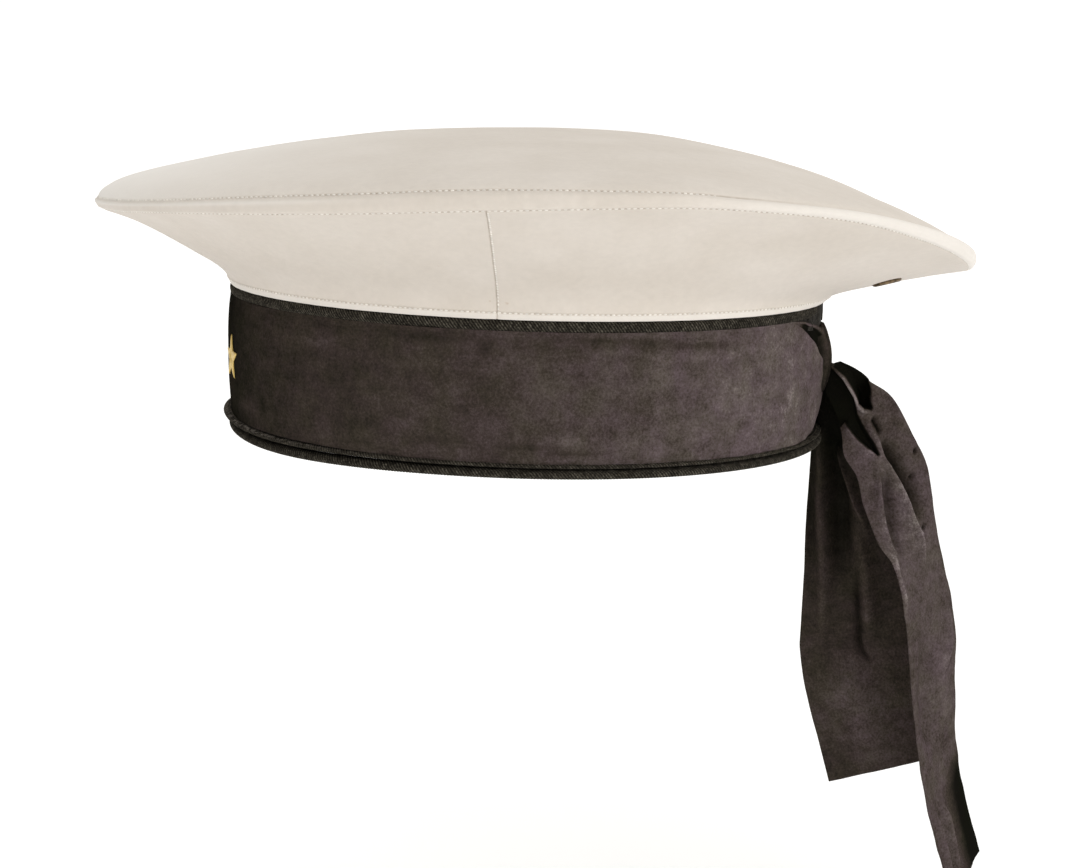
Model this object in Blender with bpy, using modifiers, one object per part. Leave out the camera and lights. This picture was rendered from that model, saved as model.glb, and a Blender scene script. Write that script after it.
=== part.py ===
"""Sailor cap: a wide soft white top on a black band, with a ribbon tied at the rear.

X is the wearer's left, Y is the rear, Z is up. The origin is the centre of the head opening,
in the plane of the band's lowest edge.
"""

import math
from collections import namedtuple

import bmesh
import bpy
from mathutils import Matrix, Vector

MM = 0.001

# Head opening and band
HEAD_LENGTH = 201.0 * MM
HEAD_WIDTH = 166.6 * MM
BAND_WALL = 2.5 * MM
BAND_HEIGHT = 50.8 * MM
CLEARANCE = 0.3 * MM

# Strips and ribbon on the band
TOP_PIPING_HEIGHT = 3.3 * MM
TOP_PIPING_THICKNESS = 1.0 * MM
TOP_PIPING_ROUND = 0.4
BOTTOM_PIPING_RADIUS = 1.8 * MM
BOTTOM_PIPING_SEAT = 0.8
RIBBON_WIDTH = 42.2 * MM
RIBBON_THICKNESS = 1.2 * MM
RIBBON_BULGE = 0.9 * MM
RIBBON_GATHERED = 17.0 * MM
GATHER_ABOVE_KNOT = 0.33
GATHER_SPAN = math.radians(27.0)

# White top
CROWN_LENGTH = 301.6 * MM
CROWN_WIDTH = 278.0 * MM
CROWN_SHIFT = 2.3 * MM
CROWN_CLOTH = 1.6 * MM
RIM_RISE = 43.1 * MM
RIM_STRIP_HEIGHT = 5.4 * MM
RIM_STRIP_BULGE = 1.1 * MM
DOME_HEIGHT = 54.2 * MM

# Knot and hanging tails
KNOT_HEIGHT = 31.5 * MM
KNOT_SIDE = 4.0 * MM
KNOT_WIDTH = 16.0 * MM
KNOT_DEPTH = 5.0 * MM
KNOT_TALL = 17.0 * MM
KNOT_TAPER = 0.25
TAIL_THICKNESS = 1.0 * MM
SHORT_TAIL_DROP = 162.0 * MM
LONG_TAIL_DROP = 190.0 * MM
PLEAT_DEPTH = 1.3 * MM
PLEAT_COUNT = 2
PLEAT_LOSS = 0.8
PLEAT_RUN = 0.62

# Stars and vent eyelets
STAR_HEIGHT = 15.0 * MM
STAR_THICKNESS = 0.8 * MM
STAR_ANGLE = math.radians(68.5)
STAR_POINTS = 5
STAR_WAIST = 0.40
EYELET_RADIUS = 5.0 * MM
EYELET_HOLE = 3.0 * MM
EYELET_WALL = 0.6 * MM
EYELET_ANGLE = math.radians(72.5)
EYELET_OUT = 0.55

# Facets
ROUND_STEPS = 64
TAIL_STEPS = 20
TAIL_COLUMNS = 12
EYELET_STEPS = 20
KNOT_LEVELS = 2
SHARP_ANGLE = math.radians(40.0)

QUARTER = math.radians(90.0)

# The rim from the front (-90) to the rear (90): its height above the band on the left and the
# right, as shares of RIM_RISE, and the height of its strip, as a share of RIM_STRIP_HEIGHT
RimRow = namedtuple("RimRow", "degrees left_rise right_rise strip")
RIM_ROWS = (
    RimRow(-90.0, 0.64, 0.64, 0.45),
    RimRow(-60.0, 0.708, 0.708, 0.50),
    RimRow(-45.0, 0.773, 0.773, 0.56),
    RimRow(-30.0, 0.857, 0.857, 0.78),
    RimRow(-15.0, 0.933, 0.933, 0.93),
    RimRow(0.0, 1.0, 1.0, 1.0),
    RimRow(20.0, 1.03, 0.965, 1.0),
    RimRow(38.0, 0.93, 0.81, 1.0),
    RimRow(60.0, 0.628, 0.51, 0.97),
    RimRow(75.0, 0.435, 0.385, 0.97),
    RimRow(90.0, 0.362, 0.362, 0.95),
)

# Flare of the side panels from the band to the rim strip: shares of the way out and of the way up
FlareRow = namedtuple("FlareRow", "out up")
FLARE_ROWS = (
    FlareRow(0.0, 0.0),
    FlareRow(0.055, 0.16),
    FlareRow(0.14, 0.28),
    FlareRow(0.26, 0.40),
    FlareRow(0.42, 0.55),
    FlareRow(0.60, 0.71),
    FlareRow(0.80, 0.87),
    FlareRow(1.0, 1.0),
)

# Roll of the rim strip: shares of the way up it and of RIM_STRIP_BULGE
StripRow = namedtuple("StripRow", "up out")
STRIP_ROWS = (
    StripRow(0.25, 0.80),
    StripRow(0.55, 1.00),
    StripRow(0.85, 0.65),
)

# Dome of the top panel: shares of the way out from its centre and of the drop to the rim
DomeRow = namedtuple("DomeRow", "out drop")
DOME_ROWS = (
    DomeRow(0.18, 0.012),
    DomeRow(0.36, 0.075),
    DomeRow(0.54, 0.20),
    DomeRow(0.70, 0.36),
    DomeRow(0.84, 0.555),
    DomeRow(0.93, 0.72),
    DomeRow(0.975, 0.86),
    DomeRow(0.992, 0.985),
)

# Two edges of a tail, row by row from the knot down. back and side are shares of RIBBON_WIDTH
# from the band's rear face and from the knot's middle, drop is a share of the tail's drop.
TailRow = namedtuple("TailRow", "near_back near_drop near_side far_back far_drop far_side")
SHORT_TAIL_ROWS = (
    TailRow(0.045, 0.05, -0.17, 0.15, 0.05, -0.08),
    TailRow(0.07, 0.14, -0.22, 0.26, 0.14, -0.07),
    TailRow(0.07, 0.20, -0.24, 0.34, 0.20, -0.07),
    TailRow(0.00, 0.26, -0.27, 0.42, 0.25, -0.09),
    TailRow(-0.04, 0.34, -0.29, 0.55, 0.33, -0.11),
    TailRow(-0.04, 0.49, -0.31, 0.77, 0.47, -0.13),
    TailRow(-0.04, 0.64, -0.34, 0.90, 0.61, -0.14),
    TailRow(-0.03, 0.70, -0.35, 0.92, 0.67, -0.14),
    TailRow(0.06, 0.81, -0.35, 1.00, 0.76, -0.14),
    TailRow(0.28, 1.00, -0.34, 1.22, 0.925, -0.14),
)
LONG_TAIL_ROWS = (
    TailRow(0.12, 0.085, 0.07, 0.14, 0.022, 0.06),
    TailRow(0.15, 0.115, 0.10, 0.26, 0.028, 0.09),
    TailRow(0.19, 0.14, 0.15, 0.41, 0.045, 0.10),
    TailRow(0.22, 0.18, 0.20, 0.59, 0.073, 0.07),
    TailRow(0.31, 0.22, 0.26, 0.76, 0.135, 0.05),
    TailRow(0.42, 0.26, 0.31, 0.91, 0.20, 0.00),
    TailRow(0.60, 0.32, 0.36, 1.01, 0.29, -0.05),
    TailRow(0.73, 0.385, 0.41, 1.10, 0.375, -0.10),
    TailRow(0.81, 0.50, 0.44, 1.24, 0.505, -0.17),
    TailRow(0.88, 0.64, 0.46, 1.29, 0.63, -0.22),
    TailRow(0.98, 0.76, 0.49, 1.34, 0.745, -0.26),
    TailRow(1.13, 0.885, 0.51, 1.50, 0.87, -0.29),
    TailRow(1.29, 1.00, 0.54, 1.64, 0.975, -0.32),
)

# Lengths worked out from the sizes above
RIBBON_INNER = BAND_WALL + CLEARANCE
RIBBON_OUTER = RIBBON_INNER + RIBBON_THICKNESS
BAND_TOP = BAND_HEIGHT - CLEARANCE
FOOT_OUT = RIBBON_INNER + TOP_PIPING_THICKNESS
PIPING_OUT_OF_WALL = BOTTOM_PIPING_SEAT * BOTTOM_PIPING_RADIUS
PIPING_OUT = BAND_WALL + PIPING_OUT_OF_WALL
BAND_BOTTOM = BOTTOM_PIPING_RADIUS + math.sqrt(
    (BOTTOM_PIPING_RADIUS + CLEARANCE) ** 2 - PIPING_OUT_OF_WALL ** 2)
RIBBON_TOP = BAND_TOP - TOP_PIPING_HEIGHT - CLEARANCE
RIBBON_BOTTOM = RIBBON_TOP - RIBBON_WIDTH
RIBBON_MIDDLE = (RIBBON_TOP + RIBBON_BOTTOM) / 2
REAR_FACE = HEAD_LENGTH / 2 + RIBBON_OUTER
GATHERED_TOP = KNOT_HEIGHT + GATHER_ABOVE_KNOT * RIBBON_GATHERED
DOME_TOP = BAND_HEIGHT + DOME_HEIGHT
DRILL_DEPTH = 6 * CROWN_CLOTH


def clear_scene():
    """Remove whatever the open file holds."""
    for thing in list(bpy.data.objects):
        bpy.data.objects.remove(thing, do_unlink=True)


def make_collection(name):
    """Make a collection in the scene."""
    group = bpy.data.collections.new(name)
    bpy.context.scene.collection.children.link(group)
    return group


def make_material(name, colour, roughness, metallic=0.0):
    """Make a Principled material."""
    material = bpy.data.materials.new(name)
    material.use_nodes = True
    shader = material.node_tree.nodes["Principled BSDF"]
    shader.inputs["Base Color"].default_value = (*colour, 1.0)
    shader.inputs["Roughness"].default_value = roughness
    shader.inputs["Metallic"].default_value = metallic
    return material


def add_object(name, body, material, group):
    """Put a bmesh in the scene as a named object with smooth shading."""
    mesh = bpy.data.meshes.new(name)
    body.to_mesh(mesh)
    body.free()
    mesh.shade_smooth()
    mesh.set_sharp_from_angle(angle=SHARP_ANGLE)
    mesh.materials.append(material)
    thing = bpy.data.objects.new(name, mesh)
    group.objects.link(thing)
    return thing


def read_rows(rows, at):
    """Read a table of named columns at a value of its first column, on a smooth curve."""
    knots = [row[0] for row in rows]
    last = len(rows) - 1
    place = min(max(at, knots[0]), knots[last])
    low = max(i for i in range(last) if knots[i] <= place)
    span = knots[low + 1] - knots[low]
    share = (place - knots[low]) / span

    def slope(i, column):
        if i in (0, last):
            return 0.0
        return (rows[i + 1][column] - rows[i - 1][column]) / (knots[i + 1] - knots[i - 1])

    values = []
    for column in range(1, len(rows[0])):
        start, end = rows[low][column], rows[low + 1][column]
        rise = slope(low, column) * span
        fall = slope(low + 1, column) * span
        values.append((2 * share ** 3 - 3 * share ** 2 + 1) * start
                      + (share ** 3 - 2 * share ** 2 + share) * rise
                      + (3 * share ** 2 - 2 * share ** 3) * end
                      + (share ** 3 - share ** 2) * fall)
    return values


def ease(share):
    """Go smoothly from 0 to 1 as the share goes from 0 to 1."""
    held = min(max(share, 0.0), 1.0)
    return held * held * (3 - 2 * held)


def band_point(angle, out, height):
    """A point beside the head opening's oval, out from it along its normal."""
    half_width, half_length = HEAD_WIDTH / 2, HEAD_LENGTH / 2
    place = Vector((half_width * math.cos(angle), half_length * math.sin(angle), height))
    normal = Vector((half_length * math.cos(angle), half_width * math.sin(angle), 0.0))
    return place + normal.normalized() * out


def rim_point(angle, strip_share=0.0):
    """A point on the rim's oval, at its upper seam or a share of its strip's height below it."""
    degrees = math.degrees(math.asin(max(-1.0, min(1.0, math.sin(angle)))))
    left_rise, right_rise, strip = read_rows(RIM_ROWS, degrees)
    rise = left_rise if math.cos(angle) > 0 else right_rise
    return Vector((CROWN_WIDTH / 2 * math.cos(angle),
                   CROWN_SHIFT + CROWN_LENGTH / 2 * math.sin(angle),
                   BAND_HEIGHT + RIM_RISE * rise - RIM_STRIP_HEIGHT * strip * strip_share))


def rim_normal(angle):
    """The level direction out of the rim's oval."""
    return Vector((CROWN_LENGTH * math.cos(angle), CROWN_WIDTH * math.sin(angle), 0.0)).normalized()


def round_angles(start=0.0, turn=2 * math.pi, margin=0.0):
    """Angles round the cap on the shared facets, with a margin at both ends."""
    steps = round(ROUND_STEPS * turn / (2 * math.pi))
    angles = [start + turn * i / steps for i in range(steps + 1)]
    angles[0] += margin
    angles[-1] -= margin
    return angles


def wall_section(outer, level, thickness):
    """Close a line of points into a wall: the outer line, then the inner one on its way back.

    level is the direction, square to the line's plane, about which the wall lies on the left.
    """
    inner = []
    for i, point in enumerate(outer):
        before = outer[max(i - 1, 0)]
        after = outer[min(i + 1, len(outer) - 1)]
        side = level.cross(after - before).normalized()
        inner.append(point + side * thickness)
    return outer, inner


def loft(name, sections, closed, material, group):
    """Join closed sections in order, as a ring or with a cap at both ends."""
    body = bmesh.new()
    rows = [[body.verts.new(point) for point in section] for section in sections]
    count = len(rows[0])
    last = len(rows) if closed else len(rows) - 1
    for i in range(last):
        here, there = rows[i], rows[(i + 1) % len(rows)]
        for j in range(count):
            k = (j + 1) % count
            body.faces.new((here[j], here[k], there[k], there[j]))
    if not closed:
        body.faces.new(reversed(rows[0]))
        body.faces.new(rows[-1])
    bmesh.ops.recalc_face_normals(body, faces=body.faces)
    return add_object(name, body, material, group)


def side_section(angle):
    """The outer and inner lines of a side panel, from the band up to the rim strip."""
    foot = band_point(angle, FOOT_OUT, BAND_HEIGHT)
    head = rim_point(angle, 1.0)
    outer = []
    for row in FLARE_ROWS:
        place = foot.lerp(head, row.out)
        place.z = foot.z + (head.z - foot.z) * row.up
        outer.append(place)
    way = head - foot
    level = Vector((way.y, -way.x, 0.0)).normalized()
    return wall_section(outer, level, CROWN_CLOTH)


def dome_point(angle, row):
    """A point of the top panel's upper face."""
    rim = rim_point(angle)
    centre = Vector((0.0, CROWN_SHIFT, DOME_TOP))
    place = centre.lerp(rim, row.out)
    place.z = centre.z + (rim.z - centre.z) * row.drop
    return place


def dome_section(angle):
    """The upper and lower lines of the top panel, from near its centre to the rim."""
    upper = [dome_point(angle, row) for row in DOME_ROWS]
    way = upper[-1] - upper[0]
    level = Vector((-way.y, way.x, 0.0)).normalized()
    return wall_section(upper, level, CROWN_CLOTH)


def build_top_panel(material, group):
    """The domed top cloth, with a fan of faces at its centre on both sides."""
    body = bmesh.new()
    sections = []
    for angle in round_angles()[:-1]:
        upper, lower = dome_section(angle)
        sections.append([body.verts.new(point) for point in (*upper, *reversed(lower))])
    peak = Vector((0.0, CROWN_SHIFT, DOME_TOP))
    crest = body.verts.new(peak)
    under = body.verts.new(peak - Vector((0.0, 0.0, CROWN_CLOTH)))
    for i, here in enumerate(sections):
        there = sections[(i + 1) % len(sections)]
        for j in range(len(here) - 1):
            body.faces.new((here[j], here[j + 1], there[j + 1], there[j]))
        body.faces.new((crest, here[0], there[0]))
        body.faces.new((under, there[-1], here[-1]))
    bmesh.ops.recalc_face_normals(body, faces=body.faces)
    return add_object("top_panel", body, material, group)


def build_side_panels(material, group):
    """The four flared quarters, with a seam's gap between neighbours."""
    margin = CLEARANCE / 2 / (HEAD_WIDTH / 2)
    panels = {}
    for name, start in (("side_panel_rear_left", 0.0), ("side_panel_rear_right", QUARTER),
                        ("side_panel_front_right", 2 * QUARTER), ("side_panel_front_left", 3 * QUARTER)):
        sections = []
        for angle in round_angles(start, QUARTER, margin):
            outer, inner = side_section(angle)
            sections.append([*outer, *reversed(inner)])
        panels[name] = loft(name, sections, False, material, group)
    return panels


def build_rim_strip(material, group):
    """The rolled strip between the side panels' upper edge and the top panel's edge."""
    sections = []
    for angle in round_angles()[:-1]:
        side_outer, side_inner = side_section(angle)
        dome_upper, dome_lower = dome_section(angle)
        up = (side_outer[-1] - side_outer[-2]).normalized() * CLEARANCE
        down = (dome_upper[-1] - dome_upper[-2]).normalized() * CLEARANCE
        low, high = side_outer[-1] + up, dome_upper[-1] + down
        inner_low, inner_high = side_inner[-1] + up, dome_lower[-1] + down
        out = rim_normal(angle) * RIM_STRIP_BULGE
        section = [low]
        for row in STRIP_ROWS:
            section.append(low.lerp(high, row.up) + out * row.out)
        section += [high, inner_high, inner_high.lerp(inner_low, 0.5), inner_low]
        sections.append(section)
    return loft("rim_strip", sections, True, material, group)


def build_band(material, group):
    """The upright band."""
    sections = []
    for angle in round_angles()[:-1]:
        sections.append([band_point(angle, 0.0, BAND_BOTTOM), band_point(angle, BAND_WALL, BAND_BOTTOM),
                         band_point(angle, BAND_WALL, BAND_TOP), band_point(angle, 0.0, BAND_TOP)])
    return loft("head_band", sections, True, material, group)


def build_top_piping(material, group):
    """The flat ribbed strip under the white top."""
    low, high = BAND_TOP - TOP_PIPING_HEIGHT, BAND_TOP
    round_over = TOP_PIPING_ROUND * TOP_PIPING_THICKNESS
    inner, outer = RIBBON_INNER, RIBBON_INNER + TOP_PIPING_THICKNESS
    corners = ((inner, low), (outer - round_over, low), (outer, low + round_over),
               (outer, high - round_over), (outer - round_over, high), (inner, high))
    sections = [[band_point(angle, *corner) for corner in corners] for angle in round_angles()[:-1]]
    return loft("top_piping", sections, True, material, group)


def build_bottom_piping(material, group):
    """The rolled cord under the band: a closed round tube."""
    name = "bottom_piping"
    curve = bpy.data.curves.new(name, "CURVE")
    curve.dimensions = "3D"
    curve.bevel_depth = BOTTOM_PIPING_RADIUS
    curve.bevel_resolution = 2
    line = curve.splines.new("POLY")
    angles = round_angles()[:-1]
    line.points.add(len(angles) - 1)
    for point, angle in zip(line.points, angles):
        point.co = (*band_point(angle, PIPING_OUT, BOTTOM_PIPING_RADIUS), 1.0)
    line.use_cyclic_u = True
    curve.materials.append(material)
    tube = bpy.data.objects.new(name, curve)
    group.objects.link(tube)
    return tube


def build_tally_ribbon(material, group):
    """The ribbon round the band, drawn together towards the knot at the rear."""
    sections = []
    for angle in round_angles()[:-1]:
        from_rear = abs(math.remainder(angle - QUARTER, 2 * math.pi))
        drawn = 1.0 - ease(from_rear / GATHER_SPAN)
        top = RIBBON_TOP + (GATHERED_TOP - RIBBON_TOP) * drawn
        bottom = RIBBON_BOTTOM + (top - RIBBON_GATHERED - RIBBON_BOTTOM) * drawn
        slack = RIBBON_BULGE * (1.0 - drawn)
        corners = ((RIBBON_INNER, bottom), (RIBBON_OUTER, bottom),
                   (RIBBON_OUTER + slack, (top + bottom) / 2), (RIBBON_OUTER, top),
                   (RIBBON_INNER, top), (RIBBON_INNER + slack, (top + bottom) / 2))
        sections.append([band_point(angle, *corner) for corner in corners])
    return loft("tally_ribbon", sections, True, material, group)


def build_knot(material, group):
    """The tied gather: a soft lump from a coarse cage."""
    body = bmesh.new()
    bmesh.ops.create_cube(body, size=1.0)
    bmesh.ops.subdivide_edges(body, edges=body.edges, cuts=1, use_grid_fill=True)
    for corner in body.verts:
        corner.co.x *= 1.0 - KNOT_TAPER * abs(corner.co.z)
        corner.co = Vector((corner.co.x * KNOT_WIDTH, corner.co.y * KNOT_DEPTH, corner.co.z * KNOT_TALL))
    knot = add_object("ribbon_knot", body, material, group)
    knot.location = (KNOT_SIDE, REAR_FACE + CLEARANCE + KNOT_DEPTH / 2, KNOT_HEIGHT)
    soften = knot.modifiers.new("Soften", "SUBSURF")
    soften.levels = KNOT_LEVELS
    soften.render_levels = KNOT_LEVELS
    return knot


def build_tail(name, rows, drop, material, group):
    """A hanging ribbon end: a pleated sheet between two edges, with Solidify as its cloth."""
    numbered = [(float(i), *row) for i, row in enumerate(rows)]
    body = bmesh.new()
    grid = []
    edges = []
    for step in range(TAIL_STEPS + 1):
        row = TailRow(*read_rows(numbered, (len(rows) - 1) * step / TAIL_STEPS))
        near = Vector((KNOT_SIDE + row.near_side * RIBBON_WIDTH, REAR_FACE + row.near_back * RIBBON_WIDTH,
                       KNOT_HEIGHT - row.near_drop * drop))
        far = Vector((KNOT_SIDE + row.far_side * RIBBON_WIDTH, REAR_FACE + row.far_back * RIBBON_WIDTH,
                      KNOT_HEIGHT - row.far_drop * drop))
        edges.append((near, far))
    for step, (near, far) in enumerate(edges):
        before = edges[max(step - 1, 0)]
        after = edges[min(step + 1, TAIL_STEPS)]
        down = (after[0] + after[1]) - (before[0] + before[1])
        face = down.cross(far - near).normalized()
        depth = PLEAT_DEPTH * (1.0 - PLEAT_LOSS * ease(step / TAIL_STEPS / PLEAT_RUN))
        line = []
        for column in range(TAIL_COLUMNS + 1):
            across = column / TAIL_COLUMNS
            wave = depth * math.sin(2 * math.pi * PLEAT_COUNT * across)
            line.append(body.verts.new(near.lerp(far, across) + face * wave))
        grid.append(line)
    for upper, lower in zip(grid, grid[1:]):
        for i in range(TAIL_COLUMNS):
            body.faces.new((upper[i], upper[i + 1], lower[i + 1], lower[i]))
    tail = add_object(name, body, material, group)
    cloth = tail.modifiers.new("Cloth", "SOLIDIFY")
    cloth.thickness = TAIL_THICKNESS
    cloth.offset = 0.0
    cloth.use_even_offset = True
    return tail


def build_star(name, side, material, group):
    """A flat five-pointed star standing on the ribbon's face."""
    curve = bpy.data.curves.new(name, "CURVE")
    curve.dimensions = "2D"
    curve.fill_mode = "BOTH"
    curve.extrude = STAR_THICKNESS / 2
    line = curve.splines.new("POLY")
    line.points.add(2 * STAR_POINTS - 1)
    reach = STAR_HEIGHT / (1 + math.cos(math.pi / STAR_POINTS))
    for i, point in enumerate(line.points):
        turn = math.pi * i / STAR_POINTS
        radius = reach if i % 2 == 0 else reach * STAR_WAIST
        point.co = (radius * math.sin(turn), radius * math.cos(turn), 0.0, 1.0)
    line.use_cyclic_u = True
    curve.materials.append(material)
    star = bpy.data.objects.new(name, curve)
    group.objects.link(star)
    angle = -QUARTER + side * (QUARTER - STAR_ANGLE)
    face = band_point(angle, RIBBON_OUTER + RIBBON_BULGE, RIBBON_MIDDLE)
    out = (band_point(angle, 1.0, 0.0) - band_point(angle, 0.0, 0.0)).normalized()
    along = Vector((0.0, 0.0, 1.0)).cross(out)
    turn = Matrix((along, Vector((0.0, 0.0, 1.0)), out)).transposed().to_4x4()
    star.matrix_world = Matrix.Translation(face + out * (CLEARANCE + STAR_THICKNESS / 2)) @ turn
    return star


def eyelet_frame(side):
    """Where a vent eyelet sits: its middle on the panel's outer face and the way out of it."""
    angle = QUARTER - side * (QUARTER - EYELET_ANGLE)
    low = max(i for i, row in enumerate(FLARE_ROWS[:-1]) if row.out <= EYELET_OUT)
    start, end = FLARE_ROWS[low], FLARE_ROWS[low + 1]
    share = (EYELET_OUT - start.out) / (end.out - start.out)

    def line_point(turn, row):
        return side_section(turn)[0][row]

    middle = line_point(angle, low).lerp(line_point(angle, low + 1), share)
    outward = line_point(angle, low + 1) - line_point(angle, low)
    facet = 2 * math.pi / ROUND_STEPS
    along = line_point(angle + facet / 2, low) - line_point(angle - facet / 2, low)
    normal = along.cross(outward).normalized()
    if normal.z > 0:
        normal.negate()
    return Matrix.Translation(middle) @ normal.to_track_quat("Z", "Y").to_matrix().to_4x4()


def build_eyelet(name, side, panel, material, group, cutters):
    """A turned eyelet through a hole in its panel, with a flange on the outer face."""
    place = eyelet_frame(side)
    barrel = EYELET_HOLE + EYELET_WALL
    flange = CLEARANCE + EYELET_WALL
    profile = ((EYELET_HOLE, -CROWN_CLOTH), (EYELET_HOLE, flange), (EYELET_RADIUS, flange),
               (EYELET_RADIUS, CLEARANCE), (barrel, CLEARANCE), (barrel, -CROWN_CLOTH))
    body = bmesh.new()
    corners = [body.verts.new((radius, 0.0, height)) for radius, height in profile]
    for i, corner in enumerate(corners):
        body.edges.new((corner, corners[(i + 1) % len(corners)]))
    eyelet = add_object(name, body, material, group)
    turn = eyelet.modifiers.new("Turn", "SCREW")
    turn.steps = EYELET_STEPS
    turn.render_steps = EYELET_STEPS
    turn.use_merge_vertices = True
    turn.merge_threshold = 0.00001
    eyelet.matrix_world = place

    drill = bmesh.new()
    bmesh.ops.create_cone(drill, cap_ends=True, segments=EYELET_STEPS, radius1=barrel + CLEARANCE,
                          radius2=barrel + CLEARANCE, depth=DRILL_DEPTH)
    drill_mesh = bpy.data.meshes.new(name + "_drill")
    drill.to_mesh(drill_mesh)
    drill.free()
    cutter = bpy.data.objects.new(name + "_drill", drill_mesh)
    cutters.objects.link(cutter)
    cutter.matrix_world = place
    cutter.hide_render = True
    cutter.display_type = "WIRE"
    hole = panel.modifiers.new("Vent", "BOOLEAN")
    hole.operation = "DIFFERENCE"
    hole.object = cutter
    return eyelet


def build():
    """Build the whole cap."""
    clear_scene()
    cap = make_collection("sailor_cap")
    cutters = make_collection("cutters")
    white = make_material("white_cotton", (0.69, 0.63, 0.56), 0.85)
    black = make_material("black_cloth", (0.030, 0.027, 0.024), 0.95)
    braid = make_material("black_braid", (0.030, 0.027, 0.021), 0.9)
    charcoal = make_material("charcoal_ribbon", (0.055, 0.045, 0.042), 0.6)
    gold = make_material("gold_thread", (0.62, 0.44, 0.12), 0.45, 0.3)
    brass = make_material("dark_brass", (0.16, 0.12, 0.07), 0.4, 0.9)

    build_top_panel(white, cap)
    build_rim_strip(white, cap)
    panels = build_side_panels(white, cap)
    build_band(black, cap)
    build_top_piping(braid, cap)
    build_bottom_piping(braid, cap)
    build_tally_ribbon(charcoal, cap)
    build_knot(charcoal, cap)
    build_tail("ribbon_tail_short", SHORT_TAIL_ROWS, SHORT_TAIL_DROP, charcoal, cap)
    build_tail("ribbon_tail_long", LONG_TAIL_ROWS, LONG_TAIL_DROP, charcoal, cap)
    for word, side in (("left", 1), ("right", -1)):
        build_star("star_" + word, side, gold, cap)
        build_eyelet("vent_eyelet_" + word, side, panels["side_panel_rear_" + word], brass, cap, cutters)


build()
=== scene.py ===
"""Looks of a sailor cap: cloth, stitching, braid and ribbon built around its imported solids.

X is the wearer's left, Y is the rear, Z is up, in metres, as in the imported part.
"""

import math
from collections import namedtuple

import bmesh
import bpy
import numpy as np
from mathutils import Matrix, Vector, noise
from mathutils.bvhtree import BVHTree


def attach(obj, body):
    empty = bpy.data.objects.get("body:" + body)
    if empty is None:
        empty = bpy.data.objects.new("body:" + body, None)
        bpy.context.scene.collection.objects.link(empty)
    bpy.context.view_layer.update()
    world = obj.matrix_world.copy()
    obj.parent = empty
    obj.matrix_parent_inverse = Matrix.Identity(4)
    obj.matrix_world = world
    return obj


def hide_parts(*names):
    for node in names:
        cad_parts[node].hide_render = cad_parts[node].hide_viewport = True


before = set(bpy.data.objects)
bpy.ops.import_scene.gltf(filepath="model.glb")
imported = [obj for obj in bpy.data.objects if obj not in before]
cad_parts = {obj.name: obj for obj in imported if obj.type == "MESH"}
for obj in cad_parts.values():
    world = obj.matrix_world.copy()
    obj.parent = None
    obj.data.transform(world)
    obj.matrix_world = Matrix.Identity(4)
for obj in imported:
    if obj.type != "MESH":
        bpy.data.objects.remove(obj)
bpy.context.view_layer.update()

MM = 0.001
TURN = 2 * math.pi
QUARTER = math.pi / 2

# Head opening and band
HEAD_LENGTH = 201.0 * MM
HEAD_WIDTH = 166.6 * MM
BAND_WALL = 2.5 * MM
BAND_HEIGHT = 50.8 * MM
CLEARANCE = 0.3 * MM

# Braids and ribbon on the band
TOP_BRAID_HEIGHT = 3.7 * MM
TOP_BRAID_OUT = 0.45 * MM
BINDING_HEIGHT = 3.3 * MM
BINDING_OUT = 2.9 * MM
LIP_HEIGHT = 2.0 * MM
LIP_OUT = 1.2 * MM
LIP_FLARE = 1.8 * MM
RIB_PITCH = 0.95 * MM
RIB_DEPTH = 0.20 * MM
RIB_SLANT = 0.6
JOIN_FROM = math.radians(72.0)
JOIN_TO = math.radians(100.0)
JOIN_HEIGHT = 8.0 * MM
JOIN_RIDGES = (73.5, 79.0, 92.0, 98.0)
RIBBON_WIDTH = 42.2 * MM
RIBBON_CLOTH = 0.45 * MM
RIBBON_SEAT = 3.9 * MM
RIBBON_BULGE = 1.1 * MM
GATHER_REACH = 42.0 * MM
GATHER_ROLL = 1.3 * MM
VALLEY_DEPTH = 1.3 * MM

# White top
CROWN_LENGTH = 301.6 * MM
CROWN_WIDTH = 278.0 * MM
CROWN_SHIFT = 2.3 * MM
CROWN_CLOTH = 1.0 * MM
RIM_RISE = 43.1 * MM
RIM_STRIP_HEIGHT = 5.4 * MM
RIM_ROLL = 1.15 * MM
DOME_HEIGHT = 54.2 * MM
REAR_TUCK = -0.04
FRONT_FULLNESS = 0.016
HEM_WIDTH = 2.3 * MM
HEM_STEP = 0.30 * MM
SEAM_DEPTH = 0.55 * MM
SEAM_WIDTH = 0.55 * MM
SEAM_TO_STITCHES = 0.7 * MM

# Knot and hanging tails
KNOT_HEIGHT = 31.5 * MM
KNOT_SIDE = 4.0 * MM
KNOT_WIDTH = 17.0 * MM
KNOT_OUT = 3.3 * MM
KNOT_WRAP = 24.4 * MM
KNOT_SHIFT = 1.8 * MM
KNOT_SUNK = 1.2 * MM
KNOT_BACK = 1.6 * MM
FOLD_OUT = 2.3 * MM
SHORT_TAIL_DROP = 162.0 * MM
LONG_TAIL_DROP = 190.0 * MM
CREASE_LIFT = 2.4
CREASE_SHADE = 2.2

# Stars and vent eyelets
STAR_HEIGHT = 15.0 * MM
STAR_WAIST = 0.40
STAR_POINTS = 5
STAR_ANGLE = math.radians(69.0)
STAR_RELIEF = 0.45 * MM
EYELET_RADIUS = 5.0 * MM
EYELET_HOLE = 2.7 * MM
EYELET_ANGLE = math.radians(79.0)
EYELET_UP = 0.595
EYELET_TURN = 0.60
EYELET_SEAT = 0.25 * MM
EYELET_ROLL = 0.75 * MM
HOLE_DIP = 0.3 * MM

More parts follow.
